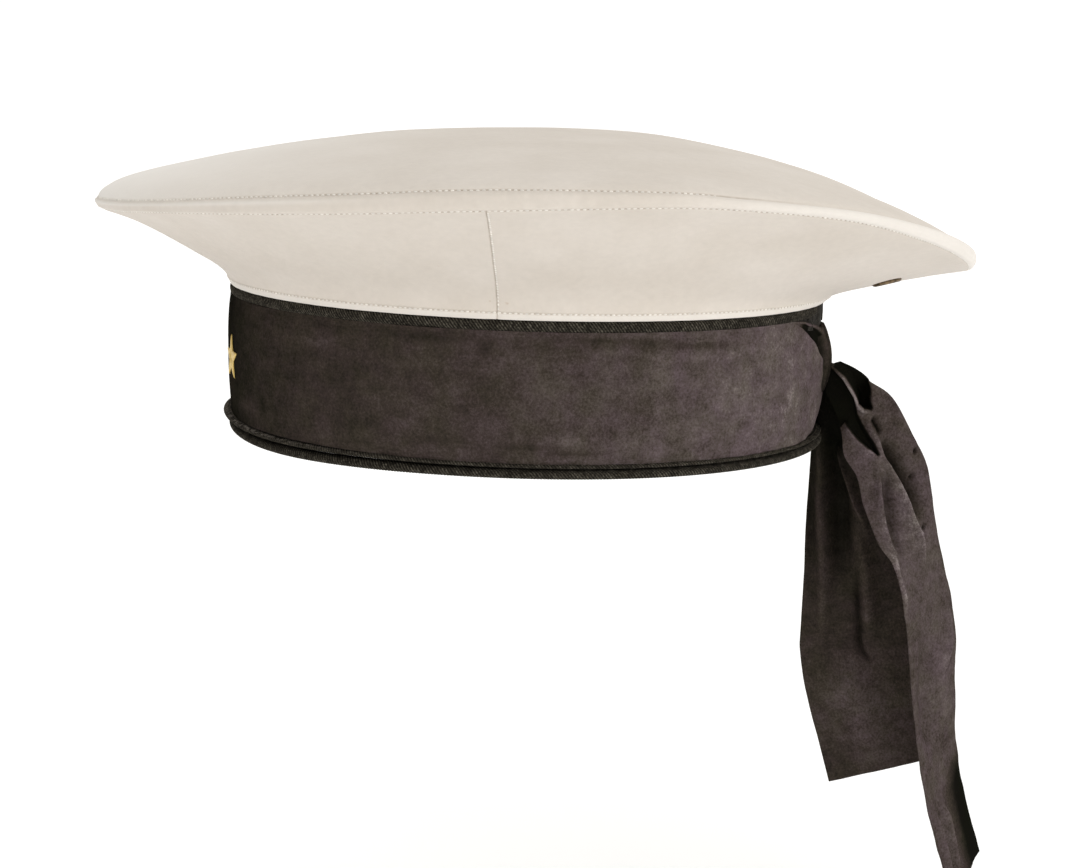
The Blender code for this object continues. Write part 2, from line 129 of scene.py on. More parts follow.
# Stitches
STITCH_RADIUS = 0.30 * MM
STITCH_LENGTH = 0.62
STITCH_HIDDEN = 1.3 * MM
STITCH_SUNK = 0.05 * MM
SEAM_TO_ROW = 0.42 * MM
HEM_PITCH = 1.7 * MM
RIM_PITCH = 1.8 * MM
SEAM_PITCH = 1.5 * MM

# How finely each piece is divided
TOP_ROWS, TOP_COLUMNS = 60, 440
EDGE_ROWS = 14
SIDE_ROWS, SIDE_COLUMNS = 16, 150
ROLL_ROWS, ROLL_COLUMNS = 25, 720
PANEL_ROWS, FOLD_ROWS, RIBBON_COLUMNS = 46, 13, 720
KNOT_ROWS, KNOT_COLUMNS = 44, 56
TAIL_ROWS, TAIL_COLUMNS = 276, 102
COLUMNS_PER_RIB = 4
STITCH_LINE_POINTS = 1440

# Colours: each kind of tones goes from place to place on a ramp
COTTON_TONES = ((0.32, (0.64, 0.58, 0.514)), (0.68, (0.69, 0.632, 0.57)))
RIBBON_TONES = ((0.0, (0.007, 0.007, 0.005)), (1.0, (0.2, 0.176, 0.168)),
                (0.15, (0.018, 0.016, 0.012)), (0.35, (0.041, 0.033, 0.027)),
                (0.6, (0.08, 0.065, 0.061)), (0.8, (0.118, 0.098, 0.094)))
RIBBON_HUES = ((0.35, (1.0, 1.0, 0.94)), (0.65, (1.04, 0.96, 1.06)))
BRAID_TONES = ((0.32, (0.006, 0.005, 0.004)), (0.9, (0.17, 0.155, 0.125)),
               (0.52, (0.024, 0.021, 0.016)), (0.7, (0.062, 0.055, 0.043)))
FELT_TONES = ((0.35, (0.012, 0.011, 0.010)), (0.7, (0.048, 0.043, 0.037)))
BRASS_TONES = ((0.35, (0.060, 0.042, 0.026)), (0.7, (0.26, 0.18, 0.10)))
WHITE_THREAD = (0.86, 0.82, 0.76)
GOLD_THREAD = (0.75, 0.54, 0.17)
# The pale cotton of painted light, then the tan of real wear and of painted shade
PAINTED_LIGHT_COTTON = (0.86, 0.825, 0.78)
WEAR_AND_SHADE_COTTON = (0.30, 0.24, 0.18)
STAIN = (0.42, 0.27, 0.15)
WORN_BRAID = (0.32, 0.29, 0.26)

# Places round the cap: degrees from the wearer's left side towards the rear, and their reach
TUCKED_REAR = (90.0, 32.0)
DROPPED_REAR = (88.0, 42.0)
FULL_FRONT = (-90.0, 40.0)
PLAIN_FRONT = (-90.0, 55.0)
# Where the top's front is painted paler as painted light
PAINTED_LIT_FRONT = (-82.0, 46.0)
# Where the rim strip is painted darker tan as painted shade
PAINTED_SHADE_ROLL = (8.0, 22.0)
WORN_LIP = (-62.0, 26.0)
SUNK_BRAID = (86.0, 13.5)
DRAWN_BINDING = (-75.0, 30.0)
HANGING_BINDING = (-52.0, 32.0)
LOW_LIP = (-50.0, 28.0)
HIGH_LIP = (-92.0, 22.0)
FLARED_LIP = (-86.0, 24.0)

# Smooth waves in the cloth: the size of their features and their height, in millimetres, and the
# seed of their noise
Waves = namedtuple("Waves", "size height seed")
TOP_WAVES = Waves(42.0, 0.55, 1)
TOP_PUCKER = Waves(4.5, 0.24, 2)
SIDE_WAVES = Waves(34.0, 0.7, 3)
SIDE_PUCKER = Waves(3.6, 0.17, 4)
ROLL_PUCKER = Waves(2.6, 0.17, 5)
ROLL_WAVES = Waves(16.0, 0.25, 6)
RIBBON_WAVES = Waves(17.0, 0.50, 7)
RIBBON_PUCKER = Waves(5.0, 0.16, 8)
TAIL_WAVES = Waves(22.0, 1.0, 9)
TAIL_FOLDS = Waves(7.0, 0.30, 10)
TAIL_PUCKER = Waves(2.6, 0.09, 11)
JOIN_NAP = Waves(2.0, 0.12, 12)

# Camera: its place is fitted to the photograph, 1078 pixels wide
PHOTO_WIDTH = 1078
FOCAL_PIXELS = 1988.0
CAMERA_DISTANCE = 700.0 * MM
CAMERA_SIDE = 5.64 * MM
CAMERA_HEIGHT = 135.8 * MM
CAMERA_TURN = math.radians(5.5)
CAMERA_PITCH = math.radians(11.17)
CAMERA_ROLL = math.radians(1.55)
FLOOR_SIZE = 14.0
FLOOR_DROP = 195.0 * MM
FLOOR_GLOW = 0.215


def table(columns, *rows):
    """A table of rows of values in named columns."""
    row = namedtuple("row", columns)
    return tuple(row(*values) for values in rows)


# The rim from the front (-90) to the rear (90): its height above the band on the left and the
# right, as shares of RIM_RISE, and the height of its strip, as a share of RIM_STRIP_HEIGHT
RIM_ROWS = table(
    "degrees left_rise right_rise strip",
    (-90.0, 0.64, 0.64, 0.45),
    (-60.0, 0.708, 0.708, 0.5),
    (-45.0, 0.773, 0.773, 0.56),
    (-30.0, 0.857, 0.857, 0.78),
    (-15.0, 0.933, 0.933, 0.93),
    (0.0, 1.0, 1.0, 1.0),
    (20.0, 1.01, 0.965, 0.72),
    (30.0, 0.965, 0.9, 0.52),
    (45.0, 0.875, 0.71, 0.54),
    (60.0, 0.72, 0.53, 0.76),
    (75.0, 0.54, 0.43, 0.9),
    (83.0, 0.45, 0.4, 0.92),
    (90.0, 0.385, 0.385, 0.95))

# Flare of the side cloth from the band to the rim strip: shares of the way out and of the way up
FLARE_ROWS = table(
    "step out up",
    (0.0, 0.0, 0.0),
    (1.0, 0.055, 0.16),
    (2.0, 0.14, 0.28),
    (3.0, 0.26, 0.4),
    (4.0, 0.42, 0.55),
    (5.0, 0.6, 0.71),
    (6.0, 0.8, 0.87),
    (7.0, 1.0, 1.0))

# Dome of the top cloth: shares of the way out from its centre and of the drop to the rim, and how
# much more it has dropped at the rear
DOME_ROWS = table(
    "step out drop rear",
    (0.0, 0.0, 0.0, 0.0),
    (1.0, 0.18, 0.012, 0.0),
    (2.0, 0.36, 0.075, 0.0),
    (3.0, 0.54, 0.2, 0.012),
    (4.0, 0.7, 0.36, 0.045),
    (5.0, 0.84, 0.555, 0.09),
    (6.0, 0.93, 0.72, 0.13),
    (7.0, 0.975, 0.86, 0.1),
    (8.0, 0.992, 0.985, 0.0))

# Section of the rim strip from its lower to its upper seam: how far it stands out, in shares of
# RIM_ROLL, at the front (a ridge), at the sides (a soft roll) and at the rear (a padded roll)
STRIP_ROWS = table(
    "up ridge soft roll",
    (0.0, -0.5, -0.5, -0.5),
    (0.06, 0.1, 0.15, 0.3),
    (0.2, 0.3, 0.6, 1.0),
    (0.35, 0.45, 0.85, 1.55),
    (0.5, 0.6, 1.0, 1.85),
    (0.65, 0.7, 1.08, 1.9),
    (0.8, 0.55, 1.05, 1.8),
    (0.92, 0.25, 0.7, 1.5),
    (1.0, -0.2, -0.3, 0.7))

# Rows of points up the side cloth, in millimetres from its hem and down from the rim strip
HEM_ROWS = (0.0, 0.3, 0.7, 1.2, 1.6, 1.85, 2.0, 2.15, 2.3, 2.45, 2.6, 2.75, 3.0, 3.4, 4.0, 5.0, 6.5, 8.5)
RIM_ROWS_BELOW = (9.0, 7.0, 5.2, 3.8, 2.8, 2.1, 1.6, 1.3, 1.1, 0.95, 0.8, 0.65, 0.5, 0.35, 0.2, 0.1, 0.0)

# The ribbon drawn together towards the knot: shares of GATHER_REACH away from it, and the heights
# of its lower edge, of its rolled upper edge, of the dark gap's top and of the fold behind it, in
# RIBBON_WIDTH, and how far that fold stands out, as a share of FOLD_OUT
GATHER_ROWS = table(
    "away low edge gap high fold",
    (0.0, 0.3, 0.56, 0.66, 0.76, 1.0),
    (0.12, 0.26, 0.59, 0.73, 0.8, 0.95),
    (0.24, 0.19, 0.63, 0.78, 0.86, 0.8),
    (0.4, 0.1, 0.69, 0.84, 0.905, 0.6),
    (0.5, 0.055, 0.76, 0.88, 0.925, 0.48),
    (0.64, 0.02, 0.83, 0.915, 0.955, 0.34),
    (0.74, 0.01, 0.885, 0.945, 0.975, 0.24),
    (0.87, 0.0, 0.945, 0.97, 0.992, 0.12),
    (1.0, 0.0, 0.98, 0.985, 1.0, 0.0))

# The shade of the ribbon round the band, from dark (0) to pale (1), by degrees from the wearer's
# left side towards the rear: partly fading, partly painted shade, darkest at the front left where
# less light falls and paler towards the rear where the key light falls
RIBBON_SHADES = table(
    "degrees shade",
    (-180.0, 0.45),
    (-90.0, 0.03),
    (-70.0, 0.06),
    (-60.0, 0.15),
    (-45.0, 0.28),
    (-15.0, 0.34),
    (8.0, 0.41),
    (30.0, 0.52),
    (60.0, 0.64),
    (90.0, 0.6),
    (180.0, 0.45))

# Worn and smudged places on the ribbon: degrees towards the rear, height as a share of its width,
# their reach both ways, and how much paler they are. The narrow upright pale line at 62 degrees is
# a painted highlight along a soft crease
RIBBON_SMUDGES = table(
    "degrees height wide tall shade",
    (-13.0, 0.93, 9.0, 0.045, -0.16),
    (30.0, 0.9, 14.0, 0.035, -0.14),
    (-10.0, 0.16, 4.5, 0.03, -0.12),
    (-2.0, 0.86, 1.2, 0.05, -0.16),
    (6.0, 0.13, 6.0, 0.022, -0.16),
    (14.0, 0.09, 5.0, 0.02, -0.16),
    (13.0, 0.19, 3.0, 0.035, 0.16),
    (22.0, 0.13, 3.5, 0.045, 0.08),
    (20.0, 0.94, 11.0, 0.018, -0.16),
    (40.0, 0.88, 6.0, 0.025, -0.12),
    (56.0, 0.3, 4.0, 0.12, 0.07),
    (29.0, 0.5, 1.2, 0.6, 0.08),
    # painted highlight along a soft crease
    (62.0, 0.55, 1.2, 0.3, 0.14),
    (60.5, 0.28, 2.0, 0.1, 0.1),
    (-72.0, 0.3, 4.0, 0.2, 0.1),
    (-40.0, 0.55, 9.0, 0.25, -0.05),
    (-60.0, 0.16, 5.0, 0.06, 0.13),
    (-52.0, 0.22, 0.8, 0.1, -0.13),
    (-47.0, 0.17, 0.7, 0.09, -0.12),
    (-38.0, 0.8, 7.0, 0.05, 0.08),
    (48.0, 0.55, 8.0, 0.3, 0.06),
    (-28.0, 0.4, 3.0, 0.3, -0.06))

# Two edges of a tail, row by row from the knot down. back and side are shares of RIBBON_WIDTH
# from the band's rear face and from the knot's middle, drop is a share of the tail's drop.
SHORT_TAIL_ROWS = table(
    "step near_back near_drop near_side far_back far_drop far_side",
    (0.0, -0.03, 0.03, -0.17, 0.12, 0.05, -0.08),
    (1.0, -0.03, 0.14, -0.22, 0.26, 0.14, -0.07),
    (2.0, -0.04, 0.2, -0.24, 0.34, 0.2, -0.07),
    (3.0, -0.045, 0.26, -0.27, 0.42, 0.25, -0.09),
    (4.0, -0.05, 0.34, -0.29, 0.55, 0.33, -0.11),
    (5.0, -0.04, 0.49, -0.31, 0.77, 0.47, -0.13),
    (6.0, -0.04, 0.64, -0.34, 0.9, 0.61, -0.14),
    (7.0, -0.03, 0.7, -0.35, 0.92, 0.67, -0.14),
    (8.0, 0.06, 0.81, -0.35, 1.0, 0.76, -0.14),
    (9.0, 0.28, 1.0, -0.34, 1.22, 0.905, -0.14))
LONG_TAIL_ROWS = table(
    "step near_back near_drop near_side far_back far_drop far_side",
    (0.0, 0.03, 0.07, 0.05, 0.075, 0.013, 0.05),
    (1.0, 0.15, 0.115, 0.1, 0.25, 0.027, 0.09),
    (2.0, 0.19, 0.14, 0.15, 0.41, 0.045, 0.1),
    (3.0, 0.22, 0.18, 0.2, 0.59, 0.073, 0.07),
    (4.0, 0.33, 0.216, 0.25, 0.76, 0.135, 0.05),
    (5.0, 0.39, 0.264, 0.33, 0.91, 0.2, 0.0),
    (6.0, 0.52, 0.326, 0.44, 1.01, 0.29, -0.05),
    (7.0, 0.675, 0.387, 0.49, 1.1, 0.375, -0.1),
    (8.0, 0.797, 0.5, 0.458, 1.24, 0.505, -0.17),
    (9.0, 0.9, 0.64, 0.43, 1.29, 0.63, -0.22),
    (10.0, 0.98, 0.76, 0.49, 1.34, 0.745, -0.26),
    (11.0, 1.13, 0.885, 0.51, 1.5, 0.87, -0.29),
    (12.0, 1.29, 1.0, 0.54, 1.64, 0.975, -0.32))

# Creases in a tail's cloth: half width and height in RIBBON_WIDTH, how sharp its crest is (1 sharp,
# 2 round), how much paler it is, and its line, as shares along the tail and across it. Paler values
# are painted highlights on ridges, darker ones painted shade in valleys
SHORT_CREASES = table(
    "width height round shade line",
    (0.075, -0.055, 2.0, -0.06, ((0.1, 0.5), (0.38, 0.5), (0.46, 0.48), (0.51, 0.43), (0.6, 0.43))),
    (0.05, -0.03, 2.0, -0.04, ((0.2, 0.34), (0.42, 0.37), (0.51, 0.34), (0.6, 0.33))),
    (0.045, 0.05, 1.3, 0.07, ((0.22, 0.5), (0.32, 0.57), (0.38, 0.65), (0.44, 0.7), (0.51, 0.75))),
    (0.07, 0.035, 2.0, 0.05, ((0.48, 0.6), (0.55, 0.64), (0.6, 0.63), (0.68, 0.62))),
    (0.03, -0.03, 1.5, -0.07, ((0.55, 0.53), (0.65, 0.52), (0.71, 0.52), (0.77, 0.55), (0.796, 0.61),
        (0.782, 0.69))),
    (0.06, 0.04, 2.0, 0.05, ((0.12, 0.2), (0.35, 0.22), (0.55, 0.2), (0.72, 0.18))),
    (0.06, -0.03, 2.0, -0.03, ((0.12, 0.1), (0.35, 0.1), (0.6, 0.09))),
    (0.2, 0.03, 2.0, 0.04, ((0.83, 0.3), (0.9, 0.45), (1.0, 0.5))))
LONG_CREASES = table(
    "width height round shade line",
    (0.018, 0.028, 1.0, 0.34, ((0.01, 0.86), (0.06, 0.79), (0.092, 0.7), (0.136, 0.61), (0.165, 0.53),
        (0.198, 0.545), (0.23, 0.66))),
    (0.034, 0.035, 1.2, 0.2, ((0.15, 0.15), (0.206, 0.21), (0.242, 0.26), (0.289, 0.32), (0.33, 0.36))),
    (0.045, 0.055, 1.0, 0.18, ((0.216, 0.5), (0.259, 0.49), (0.299, 0.48), (0.328, 0.47), (0.389, 0.49),
        (0.431, 0.51), (0.485, 0.52), (0.544, 0.56), (0.6, 0.56))),
    (0.028, -0.03, 1.6, -0.16, ((0.236, 0.6), (0.271, 0.59), (0.292, 0.57))),
    (0.06, -0.07, 1.5, -0.17, ((0.285, 0.54), (0.341, 0.55), (0.39, 0.61), (0.427, 0.65), (0.459, 0.69),
        (0.5, 0.75))),
    (0.024, 0.03, 1.0, 0.12, ((0.34, 0.34), (0.403, 0.24), (0.444, 0.18), (0.482, 0.14), (0.514, 0.1),
        (0.549, 0.05), (0.58, 0.03))),
    (0.04, -0.022, 2.0, -0.05, ((0.36, 0.42), (0.43, 0.34), (0.5, 0.28), (0.56, 0.26))),
    (0.02, 0.012, 1.0, 0.14, ((0.52, 0.04), (0.56, 0.035), (0.6, 0.035), (0.64, 0.05))),
    (0.025, -0.025, 1.5, -0.2, ((0.372, 0.9), (0.377, 0.95))),
    (0.022, -0.02, 1.5, -0.14, ((0.417, 0.75), (0.423, 0.8))),
    (0.025, -0.025, 1.5, -0.2, ((0.512, 0.76), (0.52, 0.8))),
    (0.03, 0.022, 1.2, 0.06, ((0.63, 0.88), (0.675, 0.84), (0.7, 0.79), (0.715, 0.7), (0.735, 0.6))),
    (0.02, -0.022, 1.3, -0.16, ((0.722, 0.72), (0.713, 0.8), (0.711, 0.9))),
    (0.12, -0.03, 2.0, -0.03, ((0.66, 0.5), (0.74, 0.3), (0.82, 0.4))),
    (0.05, 0.028, 1.5, 0.05, ((0.87, 0.3), (0.917, 0.3), (1.0, 0.25))),
    (0.04, 0.022, 1.5, 0.05, ((0.88, 0.12), (0.94, 0.1), (1.0, 0.06))),
    (0.28, -0.015, 2.0, -0.32, ((0.84, 1.0), (0.9, 0.98), (1.05, 0.92))))

# The shade of each tail's cloth along it: painted shade, darkest near the knot where the tails hang
# in shadow, and the short tail darker all along, as it hangs in the long tail's shade
SHORT_SHADES = table(
    "along shade",
    (0.0, 0.02),
    (0.2, 0.06),
    (0.35, 0.16),
    (0.55, 0.24),
    (0.75, 0.3),
    (0.88, 0.38),
    (1.0, 0.34))
LONG_SHADES = table(
    "along shade",
    (0.0, 0.24),
    (0.2, 0.42),
    (0.35, 0.48),
    (0.55, 0.52),
    (0.75, 0.55),
    (0.9, 0.5),
    (1.0, 0.42))

# Parts of a tail's cloth that lie behind the rest: how deep, in RIBBON_WIDTH, how wide their edge
# is, their painted shade, and their outline, as shares along the tail and across it
LONG_HOLLOWS = table(
    "depth edge shade outline",
    (0.06, 0.03, -0.05, ((-0.05, -0.1), (-0.05, 0.87), (0.01, 0.86), (0.06, 0.79), (0.092, 0.7),
        (0.136, 0.61), (0.165, 0.52), (0.185, 0.47), (0.228, 0.455), (0.27, 0.45), (0.325, 0.44),
        (0.325, 0.38), (0.289, 0.3), (0.242, 0.24), (0.206, 0.19), (0.15, 0.13), (0.13, -0.1))),
    (0.24, 0.022, -0.2, ((0.01, 0.88), (0.01, 1.1), (0.076, 1.2), (0.14, 1.1), (0.158, 0.985),
        (0.175, 0.93), (0.188, 0.86), (0.2, 0.77), (0.225, 0.71), (0.225, 0.66), (0.198, 0.58),
        (0.165, 0.56), (0.146, 0.61), (0.092, 0.73), (0.06, 0.82))))

# Small stains on the side cloth: angle from the wearer's left in radians, share of the way up,
# size in millimetres and strength
STAINS = table(
    "angle up size strength",
    (0.03, 0.12, 0.9, 0.5),
    (-0.02, 0.14, 0.7, 0.35),
    (-0.14, 0.52, 0.8, 0.3))

# Lengths worked out from the sizes above
BAND_TOP = BAND_HEIGHT - CLEARANCE
RIBBON_TOP = BAND_TOP - TOP_BRAID_HEIGHT + CLEARANCE
RIBBON_BOTTOM = RIBBON_TOP - RIBBON_WIDTH
REAR_FACE = HEAD_LENGTH / 2 + RIBBON_SEAT
DOME_TOP = BAND_HEIGHT + DOME_HEIGHT


def read_table(rows, at, level_ends=True):
    """Read a table's other columns at values of its first column, on smooth curves."""
    knots, values = np.split(np.array(rows, float), (1,), 1)
    knots = knots[:, 0]
    slopes = np.zeros_like(values)
    slopes[1:-1] = (values[2:] - values[:-2]) / (knots[2:] - knots[:-2])[:, None]
    if not level_ends:
        slopes[0] = (values[1] - values[0]) / (knots[1] - knots[0])
        slopes[-1] = (values[-1] - values[-2]) / (knots[-1] - knots[-2])
    place = np.clip(at, knots[0], knots[-1])
    low = np.clip(np.searchsorted(knots, place, side="right") - 1, 0, len(knots) - 2)
    span = (knots[low + 1] - knots[low])[..., None]
    share = (place - knots[low])[..., None] / span
    found = ((2 * share ** 3 - 3 * share ** 2 + 1) * values[low]
             + (share ** 3 - 2 * share ** 2 + share) * slopes[low] * span
             + (3 * share ** 2 - 2 * share ** 3) * values[low + 1]
             + (share ** 3 - share ** 2) * slopes[low + 1] * span)
    return np.moveaxis(found, -1, 0)


def ease(share):
    """Go smoothly from 0 to 1 as the share goes from 0 to 1."""
    held = np.clip(share, 0.0, 1.0)
    return held * held * (3 - 2 * held)


def hump(angles, degrees, reach):
    """A smooth rise round the band, 1 at an angle and gone well past its reach, in degrees."""
    away = np.degrees(np.angle(np.exp(1j * (angles - math.radians(degrees)))))
    return np.exp(-(away / reach) ** 2)


def rearward(angles):
    """Go smoothly from 0 at the sides of the cap to 1 at its rear."""
    return ease((np.sin(angles) - 0.36) / 0.30)


def spread(values, centre, reach):
    """A smooth rise, 1 at a centre and gone well past its reach."""
    return np.exp(-((values - centre) / reach) ** 2)


def around(count):
    """Angles spread evenly round a full turn."""
    return np.linspace(0.0, TURN, count, endpoint=False)


def unit(vectors):
    """Vectors brought to length 1."""
    return vectors / np.maximum(np.linalg.norm(vectors, axis=-1, keepdims=True), 1e-12)


def gathered_steps(count, closeness=0.85):
    """Shares from 0 to 1 that lie closer together near both ends."""
    even = np.linspace(0.0, 1.0, count)
    return even - closeness * np.sin(TURN * even) / TURN


def band_point(angle, out, height):
    """Points beside the head opening's oval, out from it along its normal."""
    angle, out, height = np.broadcast_arrays(angle, out, height)
    half_width, half_length = HEAD_WIDTH / 2, HEAD_LENGTH / 2
    across, along = np.cos(angle), np.sin(angle)
    size = np.hypot(half_length * across, half_width * along)
    return np.stack((half_width * across + out * half_length * across / size,
                     half_length * along + out * half_width * along / size, height + 0.0), -1)


def rim_point(angle, strip_share=0.0):
    """Points on the rim's oval, at its upper seam or a share of its strip's height below it."""
    angle, strip_share = np.broadcast_arrays(angle, strip_share)
    degrees = np.degrees(np.arcsin(np.clip(np.sin(angle), -1.0, 1.0)))
    left_rise, right_rise, strip = read_table(RIM_ROWS, degrees)
    rise = np.where(np.cos(angle) > 0, left_rise, right_rise)
    return np.stack((CROWN_WIDTH / 2 * np.cos(angle), CROWN_SHIFT + CROWN_LENGTH / 2 * np.sin(angle),
                     BAND_HEIGHT + RIM_RISE * rise - RIM_STRIP_HEIGHT * strip * strip_share), -1)


def side_point(angle, up):
    """Points of the side cloth's face, from its hem (0) up to the rim strip (1)."""
    angle, up = np.broadcast_arrays(angle, up)
    foot = band_point(angle, RIBBON_SEAT, BAND_HEIGHT)
    head = rim_point(angle, 1.0)
    out, rise = read_table(FLARE_ROWS, up * FLARE_ROWS[-1].step, level_ends=False)
    rise = rise + REAR_TUCK * np.sin(math.pi * rise) * hump(angle, *TUCKED_REAR)
    place = foot + (head - foot) * out[..., None]
    place[..., 2] = foot[..., 2] + (head[..., 2] - foot[..., 2]) * rise
    return place


def dome_point(angle, share):
    """Points of the top cloth's face, from its middle (0) to the rim strip (1)."""
    angle, share = np.broadcast_arrays(angle, share)
    rim = rim_point(angle)
    centre = np.array((0.0, CROWN_SHIFT, DOME_TOP))
    out, drop, rear = read_table(DOME_ROWS, share * DOME_ROWS[-1].step, level_ends=False)
    drop = drop + rear * hump(angle, *DROPPED_REAR)
    out = out + FRONT_FULLNESS * ease((out - 0.75) / 0.2) * hump(angle, *FULL_FRONT)
    place = centre + (rim - centre) * out[..., None]
    place[..., 2] = DOME_TOP + (rim[..., 2] - DOME_TOP) * drop
    return place


def face_normals(grid, wrap=False):
    """Unit normals of a grid of points, rows by columns. The columns may close on themselves."""
    if wrap:
        wide = np.concatenate((grid[:, -1:], grid, grid[:, :1]), 1)
        across = (wide[:, 2:] - wide[:, :-2]) / 2
    else:
        across = np.gradient(grid, axis=1)
    return unit(np.cross(across, np.gradient(grid, axis=0)))


def lengths_along(points):
    """Distances along lines of points, from the first, over the first axis."""
    steps = np.linalg.norm(np.diff(points, axis=0), axis=-1)
    return np.concatenate((np.zeros((1,) + steps.shape[1:]), np.cumsum(steps, axis=0)))


def waves_at(points, waves):
    """How far waves of smooth noise lift the cloth at points, in metres."""
    shift = Vector((waves.seed * 3.7, waves.seed * 5.1, waves.seed * 7.3))
    values = [noise.noise(Vector(point) + shift) for point in points.reshape(-1, 3) / (waves.size * MM)]
    return np.array(values).reshape(points.shape[:-1]) * waves.height * MM


def add_object(name, data):
    """Put a new object of a mesh, a lens or a light in the scene."""
    thing = bpy.data.objects.new(name, data)
    bpy.context.scene.collection.objects.link(thing)
    return thing


def grid_object(name, grid, wrap=False, pole=False, closed_rows=False, cloth=(), inside=None,
                shade=None):
    """Make a smooth mesh of quads from a grid of points, rows by columns.

    wrap joins the last column to the first, closed_rows the last row to the first, and pole makes
    the first row one point. cloth is its size in metres across and along for its weave. inside is a
    point that the faces look away from; a mesh closed both ways is turned to face outwards. shade
    is the cloth's tone at each point: real wear and fading, and also painted shade and painted light.
    """
    rows, columns = grid.shape[:2]
    index = np.arange(rows * columns).reshape(rows, columns)
    if wrap:
        index = np.concatenate((index, index[:, :1]), 1)
    if closed_rows:
        index = np.concatenate((index, index[:1]), 0)
    quads = np.stack((index[:-1, :-1], index[:-1, 1:], index[1:, 1:], index[1:, :-1]), -1)
    faces = quads.reshape(-1, 4).tolist()
    if pole:
        faces = [[0, face[2], face[3]] if i < columns else face for i, face in enumerate(faces)]
    mesh = bpy.data.meshes.new(name)
    mesh.from_pydata(grid.reshape(-1, 3).tolist(), [], faces)
    if len(cloth) == 2:
        across = np.linspace(0.0, cloth[0], columns)[None, :].repeat(rows, 0)
        along = np.linspace(0.0, cloth[1], rows)[:, None].repeat(columns, 1)
        add_weave(mesh, across.ravel(), along.ravel())
    if shade is not None:
        layer = mesh.attributes.new("shade", "FLOAT", "POINT")
        layer.data.foreach_set("value", np.broadcast_to(shade, (rows, columns)).ravel().astype(np.float32))
    body = bmesh.new()
    body.from_mesh(mesh)
    if pole:
        loose = [point for point in body.verts if not point.link_faces]
        bmesh.ops.delete(body, geom=loose, context="VERTS")
    if closed_rows:
        bmesh.ops.recalc_face_normals(body, faces=body.faces)
    if inside is not None:
        away = sum((face.calc_center_median() - Vector(inside)).dot(face.normal) for face in body.faces)
        if away < 0:
            bmesh.ops.reverse_faces(body, faces=body.faces)
    body.to_mesh(mesh)
    body.free()
    mesh.shade_smooth()
    return add_object(name, mesh)


def add_weave(mesh, across, along):
    """Give a mesh its weave coordinates, in metres, from one pair a point."""
    layer = mesh.uv_layers.new(name="weave")
    corners = np.zeros(len(mesh.loops), np.int64)
    mesh.loops.foreach_get("vertex_index", corners)
    layer.data.foreach_set("uv", np.stack((across[corners], along[corners]), -1).ravel())


def thicken(thing, thickness, offset=-1.0):
    """Give a sheet its cloth's thickness."""
    cloth = thing.modifiers.new("Cloth", "SOLIDIFY")
    cloth.thickness = thickness
    cloth.offset = offset
    return thing


def dress(thing, material, slot, *nodes):
    """Give a piece its material, attach it to the root, and hide the imported nodes that it stands for."""
    thing.data.materials.clear()
    thing.data.materials.append(material)
    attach(thing, "root")
    if nodes:
        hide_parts(*nodes)
    return thing


# Materials


def feed(tree, socket, value):
    """Link another node's output to a socket, or set the socket's own value."""
    if isinstance(value, bpy.types.NodeSocket):
        tree.links.new(value, socket)
    elif socket.type == "RGBA":
        socket.default_value = (*value, 1.0)
    else:
        socket.default_value = value


def add_node(tree, kind, settings=(), values=(), **inputs):
    """Add a shader node and feed its first sockets in order, and others by their names."""
    made = tree.nodes.new("ShaderNode" + kind)
    for name, value in dict(settings).items():
        setattr(made, name, value)
    for socket, value in zip(made.inputs, values):
        feed(tree, socket, value)
    for name, value in inputs.items():
        words = name.replace("_", " ").lower()
        feed(tree, next(s for s in made.inputs if s.name.lower() == words and s.enabled), value)
    return made


def math_value(tree, operation, *values):
    """A Math node's value."""
    return add_node(tree, "Math", {"operation": operation}, values).outputs[0]


def start_material(name, roughness, sheen=0.0, metallic=0.0, specular=0.3):
    """Start a Principled material and return it with its tree."""
    material = bpy.data.materials.new(name)
    material.use_nodes = True
    sockets = material.node_tree.nodes["Principled BSDF"].inputs
    for socket, value in (("Roughness", roughness), ("Sheen Weight", sheen), ("Sheen Roughness", 0.5),
                          ("Metallic", metallic), ("Specular IOR Level", specular)):
        sockets[socket].default_value = value
    return material, material.node_tree


def finish_material(material, colour, *bumps):
    """Give a material its colour and bumps one on another: each is a height, strength and distance."""
    tree = material.node_tree
    sockets = tree.nodes["Principled BSDF"].inputs
    tree.links.new(colour, sockets["Base Color"])
    normal = None
    for height, strength, distance in bumps:
        made = add_node(tree, "Bump", Height=height, Strength=strength, Distance=distance)
        if normal is not None:
            tree.links.new(normal, made.inputs["Normal"])
        normal = made.outputs["Normal"]
    if normal is not None:
        tree.links.new(normal, sockets["Normal"])
    return material


def noise_value(tree, scale, detail=3.0, roughness=0.55, source=None):
    """A noise texture's value over the object's own metres."""
    if source is None:
        place = tree.nodes.get("Place") or add_node(tree, "TexCoord")
        place.name = "Place"
        source = place.outputs["Object"]
    made = add_node(tree, "TexNoise", Vector=source, Scale=scale, Detail=detail, Roughness=roughness)
    return made.outputs["Fac"]


def swing(tree, reach, *noise_settings):
    """Noise that swings evenly to both sides of 0, over that reach in all."""
    return math_value(tree, "MULTIPLY_ADD", noise_value(tree, *noise_settings), reach, -reach / 2)


def shade_value(tree):
    """The shade that the mesh holds at each point."""
    return add_node(tree, "Attribute", {"attribute_name": "shade"}).outputs["Fac"]


def ramp(tree, value, *stops):
    """A colour ramp over a value. A stop is its place and its colour."""
    made = add_node(tree, "ValToRGB", Fac=value)
    for i, (place, colour) in enumerate(stops):
        element = made.color_ramp.elements[i] if i < 2 else made.color_ramp.elements.new(place)
        element.position = place
        element.color = (*colour, 1.0)
    return made.outputs["Color"]


